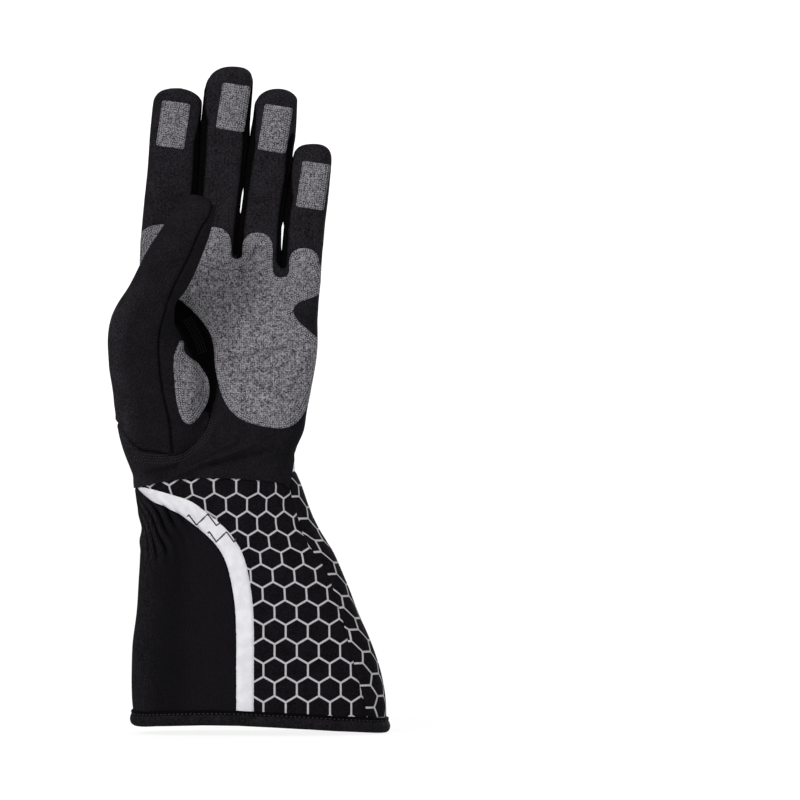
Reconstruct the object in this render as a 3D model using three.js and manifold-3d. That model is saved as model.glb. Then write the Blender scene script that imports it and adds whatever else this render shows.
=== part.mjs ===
// Left-hand sim racing glove with a gauntlet cuff, in the shape that a worn glove has:
// fingers up, palm to the front, thumb held out in front of the palm.
// Units are millimetres. +Z runs up through the fingers, the palm faces -Y, the thumb is on the -X side.
// The origin is the middle of the hand opening, at the hem of the cuff.
import * as THREE from "three";
import { mergeVertices } from "three/addons/utils/BufferGeometryUtils.js";
import Module from "manifold-3d";

const wasm = await Module();
wasm.setup();

// Driving dimensions
const WALL = 1.5; // shell fabric
const SEAM_GAP = 0.3; // between two panels that are sewn together
const HALF_GAP = SEAM_GAP / 2;
const PATCH_THICKNESS = 1.0;
const PATCH_LIFT = 0.3; // between a patch and the fabric under it
const LOBE_STEPS = 6;
const LOBE_POWER = 2.3;
const PATCH_EDGE = 4; // how far in front of the middle of the hand's depth the patches end
const BODY_SIDES = 32;
const FINGER_SIDES = 12;
const THUMB_SIDES = 16;
const GUSSET_WIDTH = 10; // strip between the front and back of two fingers
const GUSSET_BELOW_CROTCH = 6;
const GUSSET_BELOW_TIP = 10;
const THUMB_SEAM_ALLOWANCE = 2.5; // how far outside the thumb its base seam lies on the hand
const BINDING_TOP = 7.4;
const BINDING_BOTTOM = 0.6;
const HEM_TILT = -0.03; // fall of the hem towards the little finger's side
const BINDING_ROUND = 0.8;
const BINDING_PROUD = 1.1; // how far the binding stands out of the cuff, on each face
const CURL_START = 200; // height where the fingers start to curl to the front
const CURL_SPAN = 130;
const CURL_DEPTH = 18; // how far the curl brings the middle fingertip to the front
const TOP_ROUND_START = 215; // height where the hand starts to round over between the fingers
const BAND_WRAP = 7; // how far the back band's end shows on the front, at the side of the wrist
const FAR = 200; // past the object on every side
const CUT_TOLERANCE = 0.08; // points of a cut this close to a flat face or an edge are dropped
const GATHER_HEIGHT = 99; // middle of the elastic in the cuff
const GATHER_SPREAD = 15;
const GATHER_DEPTH = 0.9;
const GATHER_COUNT = 8;
const HOLLOW_DEPTH = 2.6; // dent in the middle of the palm
const HOLLOW = { x: -14, z: 192, halfWidth: 17, halfHeight: 38 };

const table = (columns, rows) =>
  rows.map((row) => Object.fromEntries(columns.map((name, i) => [name, row[i]])));

// Cuff and palm: one horizontal section a row, from the hem to the roots of the fingers.
// left and right are the sides, front and back the half depths, and slope tilts the section along X.
const BODY = table(
  ["z", "left", "right", "front", "back", "power", "slope"],
  [
    [-12, -62.8, 63, 27, 27, 2.4, HEM_TILT],
    [0, -62.8, 63, 27, 27, 2.4, HEM_TILT],
    [14, -63.9, 63.2, 27.5, 27.5, 2.4, -0.02],
    [27, -64.3, 60.8, 27.3, 27.5, 2.4, -0.01],
    [42, -63.8, 56, 26.5, 27.3, 2.4, 0],
    [58, -61.6, 49.2, 25.3, 26.7, 2.35, 0],
    [74, -60.8, 42.8, 23.8, 25.6, 2.3, 0],
    [88, -60, 36.5, 22, 24, 2.3, 0],
    [99, -59.5, 29.5, 21, 23, 2.3, 0],
    [110, -60.8, 24.7, 21.5, 23, 2.3, 0],
    [121, -62.4, 21, 22.3, 22.7, 2.3, 0],
    [131, -64.2, 17.3, 22.4, 21.6, 2.3, 0],
    [138, -65, 17.2, 22, 20.8, 2.35, 0],
    [149, -65.3, 22.2, 20.6, 19.7, 2.4, 0],
    [186, -62.3, 28.6, 17.5, 17, 2.6, 0],
    [206, -61, 28.9, 16.6, 16.2, 2.6, -0.05],
    [221, -61, 29.2, 15.2, 15.2, 2.6, -0.12],
    [230, -60.6, 30.2, 13.4, 13.4, 2.5, -0.17],
    [236, -58, 28.6, 10.6, 10.6, 2.4, -0.2],
    [239, -51, 22.5, 5.5, 5.5, 2.2, -0.2],
  ],
);

// Fingers: the middle of each horizontal section and its half width and half depth.
const FINGERS = {
  index: {
    tip: 319.3,
    rows: table(
      ["z", "x", "halfWidth", "halfDepth"],
      [
        [212, -47.6, 12.6, 11.6],
        [240, -47.2, 12.7, 11.4],
        [262, -45.2, 12.9, 11],
        [281, -43.2, 12.3, 10.6],
        [299, -42.2, 11.8, 10.2],
        [319.3, -40.6, 11.4, 9.2],
      ],
    ),
  },
  middle: {
    tip: 330.2,
    rows: table(
      ["z", "x", "halfWidth", "halfDepth"],
      [
        [212, -23.6, 11, 11.4],
        [240, -22.6, 10.9, 11.2],
        [263, -20.4, 11, 10.9],
        [281, -18.6, 11.3, 10.6],
        [302, -16.8, 11.9, 10.3],
        [330.2, -13.9, 11.2, 9.2],
      ],
    ),
  },
  ring: {
    tip: 319.2,
    rows: table(
      ["z", "x", "halfWidth", "halfDepth"],
      [
        [210, -1.4, 10.9, 11],
        [240, -0.6, 10.8, 10.8],
        [255, 0.7, 10.6, 10.5],
        [280, 4.4, 11, 10],
        [302, 7.8, 11.2, 9.7],
        [319.2, 9.4, 10.6, 9],
      ],
    ),
  },
  pinky: {
    tip: 291.8,
    rows: table(
      ["z", "x", "halfWidth", "halfDepth"],
      [
        [206, 19.5, 9.2, 9.8],
        [238, 21.2, 9.9, 9.6],
        [254, 22.4, 10.2, 9.2],
        [272, 25.2, 9.5, 8.8],
        [291.8, 27.4, 9.2, 8.2],
      ],
    ),
  },
};
const FINGER_POWER = 2.3; // 2 is an oval finger, more is a boxier one
const TIP_ROUND = 8.5; // length of a fingertip's rounded end
const TIP_STEPS = 3;
const TIP_POWER = 2.4;
const TIP_FLAT = 0.97; // the last ring closes a tip with a small flat at this share of its end

// Thumb: a section across its path a row, from inside the heel of the hand to the tip.
const THUMB = table(
  ["x", "y", "z", "halfWidth", "halfDepth"],
  [
    [-43, -2.5, 121, 17.5, 14],
    [-45, -4.5, 134, 20.3, 17],
    [-47.8, -8, 149, 22.5, 19.5],
    [-49.2, -13.5, 167, 23.8, 20.5],
    [-54.8, -21, 185, 20.3, 19],
    [-57.2, -29, 201, 16.6, 16.5],
    [-52, -34.6, 213.8, 13.6, 15.1],
    [-41.8, -43.7, 234, 12.9, 13.4],
    [-36.3, -47.4, 244.2, 11.7, 12],
    [-31.7, -50.4, 253.5, 10.2, 10.6],
    [-28.3, -52.2, 260.3, 8.2, 8.6],
    [-27.2, -52.9, 263.3, 5.2, 5.4],
  ],
);

// The line of the seam where the thumb meets the hand, seen from the front, from left to right.
const THUMB_BASE_SEAM = table(
  ["x", "z"],
  [
    [-FAR, 155],
    [-76, 154.5],
    [-71.5, 153],
    [-68.5, 149.5],
    [-66, 145.5],
    [-61, 140.5],
    [-52, 138],
    [-36, 139],
    [-29.5, 146],
    [-24.5, 155],
    [-20, 175],
  ],
);

// The line of the seam along the thumb, seen from the front.
const THUMB_SEAM = table(
  ["x", "z"],
  [
    [-25, 275],
    [-26.5, 255],
    [-31.7, 242],
    [-36.9, 230],
    [-44, 213.5],
    [-47.7, 204],
    [-50.2, 194],
    [-48.7, 174],
    [-45, 154],
    [-42.5, 139],
    [-41.5, 128],
  ],
);

// Seam between hand and cuff, on the front and on the back.
const WRIST_SEAM_FRONT = table(
  ["x", "z"],
  [
    [-FAR, 119.5],
    [-63, 120],
    [-45, 123.8],
    [-25, 125.2],
    [0, 124],
    [12, 122.6],
    [15.3, 122.4],
    [16.2, 128],
    [17, 134],
    [FAR, 140],
  ],
);
const WRIST_SEAM_BACK = table(
  ["x", "z"],
  [
    [-FAR, 120],
    [-63, 120.5],
    [-50, 124.5],
    [-20, 129],
    [5, 134],
    [19, 139],
    [FAR, 140],
  ],
);

// Seam of the cuff on the little finger's side, just inside the outline.
const SIDE_SEAM = table(
  ["x", "z"],
  [
    [15, 150],
    [15.3, 122.5],
    [17.2, 113],
    [20, 104],
    [23, 95],
    [27.5, 88],
    [33, 80],
    [37, 70],
    [40.5, 59],
    [46, 38],
    [51, 20],
    [54.5, 5],
    [55.5, -30],
  ],
);

// White bands: middle line and width.
const PALM_BAND = table(
  ["x", "z", "width"],
  [
    [-61, 120.3, 1.5],
    [-54.7, 117.2, 5],
    [-44.3, 113.4, 7],
    [-35.8, 109.7, 8.6],
    [-28.4, 104.3, 8.7],
    [-22.5, 99.5, 8.8],
    [-17.7, 94.6, 9],
    [-13.1, 87.4, 9.2],
    [-10.3, 79.3, 9.2],
    [-8.8, 71.7, 9],
    [-7.5, 62.7, 8.9],
    [-6.9, 51, 8.8],
    [-6.8, 30, 8.7],
    [-7.1, -30, 8.7],
  ],
);
const BACK_BAND = table(
  ["x", "z", "width"],
  [
    [27, 141, 4],
    [19, 134, 6],
    [10, 127, 8],
    [2.5, 117, 8.7],
    [-1, 106, 8.8],
    [-3, 92, 8.8],
    [-4, 70, 8.7],
    [-3.6, 40, 8.7],
    [-3, -30, 8.7],
  ],
);
// Edge of the plain thumb-side panel where it wraps round to the back.
const THUMB_SIDE_SEAM = table(
  ["x", "z"],
  [
    [-52, 160],
    [-52, 120],
    [-50, 95],
    [-48, 50],
    [-46, -30],
  ],
);

// Upper edge of the grip patch on the palm: rounded lobes, and valleys with a negative rise between them.
// z is the top of a lobe or the bottom of a valley, and rise is how far its shoulders lie below that.
const PALM_PATCH_LOBES = table(
  ["x", "z", "halfWidth", "rise"],
  [
    [-48.7, 251.8, 12.3, 10],
    [-34.6, 231.5, 1.8, -3],
    [-23.6, 250.5, 9.2, 9],
    [-11.6, 234.4, 2.8, -3],
    [-1.2, 247.7, 7.6, 8],
    [10.5, 225.2, 4.1, -4.5],
    [22.3, 240.2, 7.7, 8],
  ],
);
// The rest of its edge: the notch at the little finger's side, the heel and the side under the thumb.
const PALM_PATCH_HEEL = table(
  ["x", "z"],
  [
    [29.8, 219],
    [25, 215.4],
    [18, 212],
    [16.5, 208.4],
    [18.5, 204.5],
    [27.3, 196],
    [28.2, 188],
    [27, 174],
    [23.4, 160.5],
    [16.5, 151.8],
    [5, 150.2],
    [-9, 154.5],
    [-19.5, 164],
    [-22.8, 179],
    [-24, 194],
    [-29, 205],
    [-44, 216],
    [-60, 229],
  ],
);
const THUMB_BASE_PATCH = table(
  ["x", "z"],
  [
    [-39.6, 193.4],
    [-42.6, 187],
    [-43, 175],
    [-41.6, 162],
    [-39, 155],
    [-35, 152],
    [-29.2, 156.8],
    [-25.6, 166],
    [-26.6, 175],
    [-34, 186],
  ],
);
// Middle, size and lean of each fingertip patch.
const TIP_PATCH = {
  index: { x: -43.4, z: 301.6, width: 14.2, height: 23, lean: 8.3 },
  middle: { x: -13.4, z: 310.3, width: 14.2, height: 23.2, lean: 8.5 },
  ring: { x: 7.6, z: 299.6, width: 14.2, height: 23.2, lean: 9.3 },
  pinky: { x: 26.5, z: 271.2, width: 14, height: 23.2, lean: 8.6 },
};

// Where the middle of the hand's depth lies: straight to the knuckles, then curling to the front.
const curl = (z) => -CURL_DEPTH * (Math.max(0, z - CURL_START) / CURL_SPAN) ** 2;

const bump = (distance, spread) => Math.exp(-((distance / spread) ** 2));

// How far the elastic's gathers push the wall of the cuff in or out, round the section.
function gather(angle, z) {
  const thumbSide = 0.5 - 0.5 * Math.cos(angle);
  const wave = Math.sin(GATHER_COUNT * angle);
  return GATHER_DEPTH * thumbSide * wave * bump(z - GATHER_HEIGHT, GATHER_SPREAD);
}

function hollow(x, z) {
  return HOLLOW_DEPTH * bump(x - HOLLOW.x, HOLLOW.halfWidth) * bump(z - HOLLOW.z, HOLLOW.halfHeight);
}

const point = ({ x, y, z }) => new THREE.Vector3(x, y, z);

// A three.js geometry as a manifold-3d solid.
function solid(geometry) {
  const bare = geometry.clone();
  bare.deleteAttribute("normal");
  bare.deleteAttribute("uv");
  const merged = mergeVertices(bare, 1e-4);
  const vertProperties = new Float32Array(merged.attributes.position.array);
  const triVerts = new Uint32Array(merged.index.array);
  return new wasm.Manifold(new wasm.Mesh({ numProp: 3, vertProperties, triVerts }));
}

// A closed surface through rings of equal length, each anticlockwise seen from the last ring.
function loft(rings) {
  const sides = rings[0].length;
  const middle = (ring) => ring.reduce((sum, p) => sum.add(p), new THREE.Vector3()).divideScalar(sides);
  const points = [...rings.flat(), middle(rings[0]), middle(rings.at(-1))];
  const start = points.length - 2;
  const end = points.length - 1;
  const last = (rings.length - 1) * sides;
  const faces = [];
  for (let side = 0; side < sides; side++) {
    const next = (side + 1) % sides;
    faces.push(start, next, side, end, last + side, last + next);
    for (let row = 0; row < last; row += sides) {
      const [a, b, c, d] = [row + side, row + next, row + sides + next, row + sides + side];
      faces.push(a, b, c, a, c, d);
    }
  }
  return solid(new THREE.BufferGeometry().setFromPoints(points).setIndex(faces));
}

// A prism along Y over an outline seen from the front.
function prism(outline, yMin = -FAR, yMax = FAR) {
  const shape = new THREE.Shape(outline.map(({ x, z }) => new THREE.Vector2(x, z)));
  const geometry = new THREE.ExtrudeGeometry(shape, { depth: yMax - yMin, bevelEnabled: false });
  return solid(geometry.rotateX(Math.PI / 2).translate(0, yMax, 0));
}

// A horizontal section: a rounded oval, tilted along X by slope, with its own depth to front and back.
function ovalRing({ x, y, z, halfWidth, front, back, power, slope }, sides, dent) {
  const rounded = (value) => Math.sign(value) * Math.abs(value) ** (2 / power);
  return Array.from({ length: sides }, (_, i) => {
    const angle = (i * 2 * Math.PI) / sides;
    const across = rounded(Math.cos(angle)) * halfWidth;
    const deep = rounded(Math.sin(angle)) * (angle > Math.PI ? front : back);
    return dent(new THREE.Vector3(across, deep, slope * across), angle).add(new THREE.Vector3(x, y, z));
  });
}

function bodyRing(row, grow) {
  const section = {
    ...row,
    x: (row.left + row.right) / 2,
    y: curl(row.z),
    halfWidth: (row.right - row.left) / 2 + grow,
    front: row.front + grow,
    back: row.back + grow,
  };
  return ovalRing(section, BODY_SIDES, (p, angle) => {
    const pushed = 1 + gather(angle, row.z) / Math.hypot(p.x, p.y);
    p.x *= pushed;
    p.y *= pushed;
    if (p.y < 0) p.y += hollow(p.x + section.x, row.z);
    return p;
  });
}

// Cuff and palm in one, grown by some millimetres (shrunk if negative), also upwards at the rounded top.
function body(grow) {
  const upwards = (z) => grow * THREE.MathUtils.smoothstep(z, TOP_ROUND_START, BODY.at(-1).z);
  return loft(BODY.map((row) => bodyRing({ ...row, z: row.z + upwards(row.z) }, grow)));
}

// Value of a table's column at a height, straight between rows and carried on past the ends.
function at(rows, column, z) {
  const above = rows.findIndex((row) => row.z > z);
  const i = above < 0 ? rows.length - 1 : Math.max(above, 1);
  const [low, high] = [rows[i - 1], rows[i]];
  return THREE.MathUtils.mapLinear(z, low.z, high.z, low[column], high[column]);
}

// share is 1 along the finger and falls towards 0 round its tip.
function fingerRing(rows, z, grow, share) {
  const depth = at(rows, "halfDepth", z) * share + grow * share;
  const halfWidth = at(rows, "halfWidth", z) * share + grow * share;
  const section = { x: at(rows, "x", z), y: curl(z), z, halfWidth, front: depth, back: depth };
  return ovalRing({ ...section, power: FINGER_POWER, slope: 0 }, FINGER_SIDES, (p) => p);
}

function finger({ tip, rows }, grow) {
  const base = tip - TIP_ROUND;
  const straight = rows.filter((row) => row.z < base).map((row) => fingerRing(rows, row.z, grow, 1));
  const rounded = Array.from({ length: TIP_STEPS + 1 }, (_, i) => {
    const t = Math.min(i / TIP_STEPS, TIP_FLAT);
    const share = (1 - t ** TIP_POWER) ** (1 / TIP_POWER);
    return fingerRing(rows, base + t * (TIP_ROUND + grow), grow, share);
  });
  return loft([...straight, ...rounded]);
}

// A section across the thumb's path; its width runs as near to X as the path allows.
function thumbRing(i, grow) {
  const before = THUMB[Math.max(i - 1, 0)];
  const after = THUMB[Math.min(i + 1, THUMB.length - 1)];
  const along = point(after).sub(point(before)).normalize();
  const deep = along.clone().cross(new THREE.Vector3(1, 0, 0)).normalize();
  const across = deep.clone().cross(along);
  return Array.from({ length: THUMB_SIDES }, (_, k) => {
    const angle = (k * 2 * Math.PI) / THUMB_SIDES;
    return point(THUMB[i])
      .addScaledVector(across, Math.cos(angle) * (THUMB[i].halfWidth + grow))
      .addScaledVector(deep, Math.sin(angle) * (THUMB[i].halfDepth + grow));
  });
}

// The thumb, grown by some millimetres, past both of its ends too.
function thumb(grow) {
  const rings = THUMB.map((_, i) => thumbRing(i, grow));
  const beyond = (end, inside) => point(end).sub(point(inside)).normalize().multiplyScalar(grow);
  rings[0].forEach((p) => p.add(beyond(THUMB[0], THUMB[1])));
  rings.at(-1).forEach((p) => p.add(beyond(THUMB.at(-1), THUMB.at(-2))));
  return loft(rings);
}

const join = (parts) => parts.reduce((sum, part) => sum.add(part));
const hand = (grow) => join([body(grow), ...Object.values(FINGERS).map((one) => finger(one, grow))]);

// The bodies of a cut, largest first: a slanted cut can leave slivers after the main ones.
const bodiesOf = (cut) => cut.decompose().sort((a, b) => b.volume() - a.volume());

// Outlines seen from the front, from lines that run from left to right or from top to bottom.
const shifted = (line, dx, dz) => line.map(({ x, z }) => ({ x: x + dx, z: z + dz }));
const leftOf = (line) => [{ x: -FAR, z: line[0].z }, ...line, { x: -FAR, z: line.at(-1).z }];
const under = (line) => [...line, { x: line.at(-1).x, z: -FAR }, { x: line[0].x, z: -FAR }];
const over = (line) => [...line, { x: line.at(-1).x, z: 2 * FAR }, { x: line[0].x, z: 2 * FAR }];
const between = (a, b) => [...a, ...[...b].reverse()];

// One edge of a band, widened by spare: side is 1 for its right edge and -1 for its left.
function bandEdge(rows, side, spare) {
  return rows.map((row, i) => {
    const before = rows[Math.max(i - 1, 0)];
    const after = rows[Math.min(i + 1, rows.length - 1)];
    const along = new THREE.Vector2(after.x - before.x, after.z - before.z);
    const reach = (side * (row.width / 2 + spare)) / along.length();
    return { x: row.x - reach * along.y, z: row.z + reach * along.x };
  });
}
const bandOutline = (rows, spare) => between(bandEdge(rows, -1, spare), bandEdge(rows, 1, spare));

// The space in front of (side -1) or behind (side 1) the middle of the hand's depth, less a clearance.
function depthRegion(side, clearance) {
  const heights = [-FAR, CURL_START, 220, 240, 260, 280, 300, 320, 345];
  const near = heights.map((z) => new THREE.Vector2(curl(z) + side * clearance, z));
  const far = [heights.at(-1), heights[0]].map((z) => new THREE.Vector2(side * FAR, z));
  const geometry = new THREE.ExtrudeGeometry(new THREE.Shape([...near, ...far]), {
    depth: 2 * FAR,
    bevelEnabled: false,
  });
  // The shape's X and Y become Y and Z, and its depth runs along X.
  const axes = new THREE.Matrix4().makeBasis(
    new THREE.Vector3(0, 1, 0),
    new THREE.Vector3(0, 0, 1),
    new THREE.Vector3(1, 0, 0),
  );
  return solid(geometry.applyMatrix4(axes.setPosition(-FAR, 0, 0)));
}

// The strip between the front and back of two neighbouring fingers, and round under their crotch.
function gussetRegion({ left, right, crotch }, spare) {
  const line = ({ tip, rows }) => {
    const bottom = crotch - GUSSET_BELOW_CROTCH - spare;
    const top = tip - GUSSET_BELOW_TIP + spare;
    const inside = rows.map((row) => row.z).filter((z) => z > bottom && z < top);
    return [bottom, ...inside, top].map((z) => ({ x: at(rows, "x", z), z }));
  };
  const outline = between(shifted(line(left), -spare, 0), shifted(line(right), spare, 0));
  const half = GUSSET_WIDTH / 2 + spare;
  return prism(outline).intersect(depthRegion(-1, -half)).intersect(depthRegion(1, -half));
}

// Shell of the whole glove, open at the hem.
const shell = hand(0)
  .add(thumb(0))
  .subtract(hand(-WALL).add(thumb(-WALL)));

// Everything above (or under) the wrist seam, which differs on the front and the back.
const aboveWrist = prism(over(shifted(WRIST_SEAM_FRONT, 0, HALF_GAP)), -FAR, 0).add(
  prism(over(shifted(WRIST_SEAM_BACK, 0, HALF_GAP)), 0, FAR),
);
const underWrist = prism(under(shifted(WRIST_SEAM_FRONT, 0, -HALF_GAP)), -FAR, 0).add(
  prism(under(shifted(WRIST_SEAM_BACK, 0, -HALF_GAP)), 0, FAR),
);

// Thumb
const thumbRegion = (spare) =>
  thumb(THUMB_SEAM_ALLOWANCE + spare).intersect(prism(over(shifted(THUMB_BASE_SEAM, 0, -spare))));
const thumbShell = shell.intersect(thumbRegion(0));
const leftOfThumbSeam = (dx) => prism(leftOf(shifted(THUMB_SEAM, dx, 0)));
const thumbOuterPanel = bodiesOf(thumbShell.intersect(leftOfThumbSeam(-HALF_GAP)))[0];
const thumbInnerPanel = bodiesOf(thumbShell.subtract(leftOfThumbSeam(HALF_GAP)))[0];

// Hand
const GUSSETS = {
  gusset_index_middle: { left: FINGERS.index, right: FINGERS.middle, crotch: 240 },
  gusset_middle_ring: { left: FINGERS.middle, right: FINGERS.ring, crotch: 236 },
  gusset_ring_pinky: { left: FINGERS.ring, right: FINGERS.pinky, crotch: 231 },
};
const handShell = shell.intersect(aboveWrist).subtract(thumbRegion(SEAM_GAP));
const gussetPart = (name) => handShell.intersect(gussetRegion(GUSSETS[name], 0));
const gussetSpace = join(Object.values(GUSSETS).map((one) => gussetRegion(one, SEAM_GAP)));
const palmPanel = handShell.subtract(gussetSpace).intersect(depthRegion(-1, HALF_GAP));
const backPanel = handShell.subtract(gussetSpace).intersect(depthRegion(1, HALF_GAP));

// A patch lies on the fabric, just clear of it, inside an outline seen from the front.
function patch(base, outline) {
  const skin = base(PATCH_LIFT + PATCH_THICKNESS).subtract(base(PATCH_LIFT));
  return skin.intersect(depthRegion(-1, PATCH_EDGE)).intersect(prism(outline, -FAR, 0));
}

// A lobe's rounded outline, from its left shoulder to its right one.
function lobe({ x, z, halfWidth, rise }) {
  return Array.from({ length: LOBE_STEPS + 1 }, (_, i) => {
    const angle = Math.PI * (1 - i / LOBE_STEPS);
    const height = Math.sin(angle) ** (2 / LOBE_POWER);
    const across = Math.sign(Math.cos(angle)) * Math.abs(Math.cos(angle)) ** (2 / LOBE_POWER);
    return { x: x + halfWidth * across, z: z - rise * (1 - height) };
  });
}

// A smooth closed outline through points.
function smooth(line, steps) {
  const curve = new THREE.CatmullRomCurve3(line.map(({ x, z }) => new THREE.Vector3(x, 0, z)), true);
  return curve.getSpacedPoints(steps).slice(0, -1);
}

const palmPatch = patch(hand, [...PALM_PATCH_LOBES.flatMap(lobe), ...PALM_PATCH_HEEL]).subtract(
  thumb(THUMB_SEAM_ALLOWANCE),
);
const thumbBasePatch = bodiesOf(patch(thumb, smooth(THUMB_BASE_PATCH, 20)).subtract(body(SEAM_GAP)))[0];

function tipPatch(name) {
  const { x, z, width, height, lean } = TIP_PATCH[name];
  const turn = THREE.MathUtils.degToRad(lean);
  const corners = [[-1, -1], [1, -1], [1, 1], [-1, 1]].map(([side, end]) => {
    const [across, up] = [(side * width) / 2, (end * height) / 2];
    return {
      x: x + across * Math.cos(turn) + up * Math.sin(turn),
      z: z - across * Math.sin(turn) + up * Math.cos(turn),
    };
  });
  return patch((grow) => finger(FINGERS[name], grow), corners);
}

// Cuff
const hemEdge = [-FAR, FAR].map((x) => ({ x, z: BINDING_TOP + SEAM_GAP + HEM_TILT * x }));
const cuffShell = shell.intersect(underWrist).subtract(prism(under(hemEdge)));

// The plain panel on the thumb's side: to the left of the palm band in front, and round to the back.
const thumbSide = (spare) =>
  prism(leftOf(bandEdge(PALM_BAND, -1, 0)), -FAR, 0).add(
    prism(leftOf(shifted(THUMB_SIDE_SEAM, spare, 0)), -spare, FAR),
  );
const palmBand = cuffShell.intersect(prism(bandOutline(PALM_BAND, 0), -FAR, -SEAM_GAP));
const palmBandSpace = prism(bandOutline(PALM_BAND, SEAM_GAP), -FAR, 0);
const cuffThumbPanel = cuffShell.intersect(thumbSide(0)).subtract(palmBandSpace);

const cuffRest = cuffShell.subtract(thumbSide(SEAM_GAP)).subtract(palmBandSpace);
const cuffPalmPanel = bodiesOf(cuffRest.intersect(prism(leftOf(SIDE_SEAM), -FAR, -HALF_GAP)))[0];
const cuffBack = cuffRest.subtract(prism(leftOf(shifted(SIDE_SEAM, SEAM_GAP, 0)), -FAR, 0));
const backBand = cuffBack.intersect(prism(bandOutline(BACK_BAND, 0), -BAND_WRAP, FAR));
const backBandSpace = prism(bandOutline(BACK_BAND, SEAM_GAP), -BAND_WRAP - SEAM_GAP, FAR);
const [cuffBackOuterPanel, cuffBackInnerPanel] = bodiesOf(cuffBack.subtract(backBandSpace));

// Hem binding: a strip folded round the edge of the cuff.
function bindingSkin(grow, low, high, round) {
  const ring = (z, more) => {
    const row = Object.fromEntries(Object.keys(BODY[0]).map((column) => [column, at(BODY, column, z)]));
    return bodyRing({ ...row, slope: HEM_TILT }, grow + more);
  };
  return loft([ring(low, -round), ring(low + round, 0), ring(high - round, 0), ring(high, -round)]);
}
const hemBinding = bindingSkin(BINDING_PROUD, BINDING_BOTTOM, BINDING_TOP, BINDING_ROUND).subtract(
  bindingSkin(-WALL - BINDING_PROUD, BINDING_BOTTOM - 5, BINDING_TOP + 5, 0),
);

// Looks
const fabric = (color, roughness) => () =>
  new THREE.MeshStandardMaterial({ color, roughness, metalness: 0 });
const blackFabric = fabric(0x18171a, 0.92);
const printedFabric = fabric(0x1c1b1f, 0.9);
const greyGrip = fabric(0x77767c, 0.95);
const whiteBand = fabric(0xe2e1e5, 0.6);
const bindingTape = fabric(0x141417, 0.85);

function mesh(name, part, look) {
  const { vertProperties, triVerts } = part.simplify(CUT_TOLERANCE).getMesh();
  const geometry = new THREE.BufferGeometry();
  geometry.setAttribute("position", new THREE.Float32BufferAttribute(vertProperties, 3));
  geometry.setIndex([...triVerts]);
  geometry.computeVertexNormals();
  const made = new THREE.Mesh(geometry, look());
  made.name = name;
  return made;
}

const glove = new THREE.Group();
glove.add(
  mesh("palm_panel", palmPanel, blackFabric),
  mesh("back_panel", backPanel, printedFabric),
  ...Object.keys(GUSSETS).map((name) => mesh(name, gussetPart(name), blackFabric)),
  mesh("thumb_outer_panel", thumbOuterPanel, blackFabric),
  mesh("thumb_inner_panel", thumbInnerPanel, blackFabric),
  mesh("palm_patch", palmPatch, greyGrip),
  mesh("thumb_base_patch", thumbBasePatch, greyGrip),
  ...Object.keys(TIP_PATCH).map((name) => mesh(`${name}_tip_patch`, tipPatch(name), greyGrip)),
  mesh("cuff_thumb_panel", cuffThumbPanel, blackFabric),
  mesh("cuff_palm_panel", cuffPalmPanel, printedFabric),
  mesh("cuff_back_outer_panel", cuffBackOuterPanel, printedFabric),
  mesh("cuff_back_inner_panel", cuffBackInnerPanel, printedFabric),
  mesh("palm_band", palmBand, whiteBand),
  mesh("back_band", backBand, whiteBand),
  mesh("hem_binding", hemBinding, bindingTape),
);

export default glove;
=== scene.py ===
# Looks of a left-hand sim racing glove with a gauntlet cuff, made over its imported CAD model.
# Numbers are in millimetres, as in the part's source, and the objects are made in metres.
# +Z runs up to the fingertips, the palm faces -Y, the thumb is on the -X side.
import math

import bpy
import numpy as np
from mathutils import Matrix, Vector, noise
from mathutils.bvhtree import BVHTree
from mathutils.kdtree import KDTree


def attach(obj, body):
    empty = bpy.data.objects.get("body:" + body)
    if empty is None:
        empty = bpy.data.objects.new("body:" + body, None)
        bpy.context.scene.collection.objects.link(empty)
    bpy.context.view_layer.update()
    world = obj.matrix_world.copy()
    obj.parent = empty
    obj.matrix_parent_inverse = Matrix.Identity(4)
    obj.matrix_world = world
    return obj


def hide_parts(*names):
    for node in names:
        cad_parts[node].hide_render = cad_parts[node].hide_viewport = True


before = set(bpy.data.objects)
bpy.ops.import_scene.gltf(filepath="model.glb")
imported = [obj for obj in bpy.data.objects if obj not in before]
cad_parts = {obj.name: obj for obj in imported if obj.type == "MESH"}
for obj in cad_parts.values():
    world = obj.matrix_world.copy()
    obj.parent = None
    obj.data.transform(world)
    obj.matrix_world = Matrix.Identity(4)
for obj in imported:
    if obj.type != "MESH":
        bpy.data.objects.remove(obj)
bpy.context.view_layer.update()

# Camera: far away, level with the middle of the photograph
CAMERA_PLACE = (0.070, -3.0, 0.164)
VIEW_WIDTH = 0.400  # width of the view at the glove, in metres
SENSOR = 36

# Cloth
VOXEL = 1.0
SMOOTHING = 9
SHRINK = 0.4  # how far the smoothing draws a finger in
SNAP = 0.12  # points this close to a cut lie on it
CLOTH_THICKNESS = 1.1
SEAM_DEPTH = 0.8
SEAM_WIDTH = 0.95
SEAM_REACH = 12  # how far from a seam its distance is still recorded
SEAM_SHADE = (0.1, 0.8)  # the cloth is dark up to the first distance from a seam, light from the second
SHARP_ANGLE = 50  # in degrees: an edge that turns further is shaded as an edge
HAND_SIDES = 140
HAND_STEP = 1.5
HAND_SPAN = (100, 239.1)  # lowest and highest section of the hand's own skin
WRIST_LIFT = 0.45  # how far the hand's cloth stands over the cuff at the wrist seam
WRIST_LIFT_WIDTH = 5
WRIST_TURN = (-2, 2)  # depths between which the seam goes over from its front to its back line
LINE_STEPS = 60  # points on a smooth line through the given ones
OUTLINE_STEPS = 90  # and on a longer one
RING_FINENESS = 6  # points on a section for each that is kept
SEAM_SAMPLES = (0, 0.25, 0.5, 0.75)  # places on each edge of a seam, to measure distances from
FAR = 20
RAY_START = 500  # in front of everything

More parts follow.
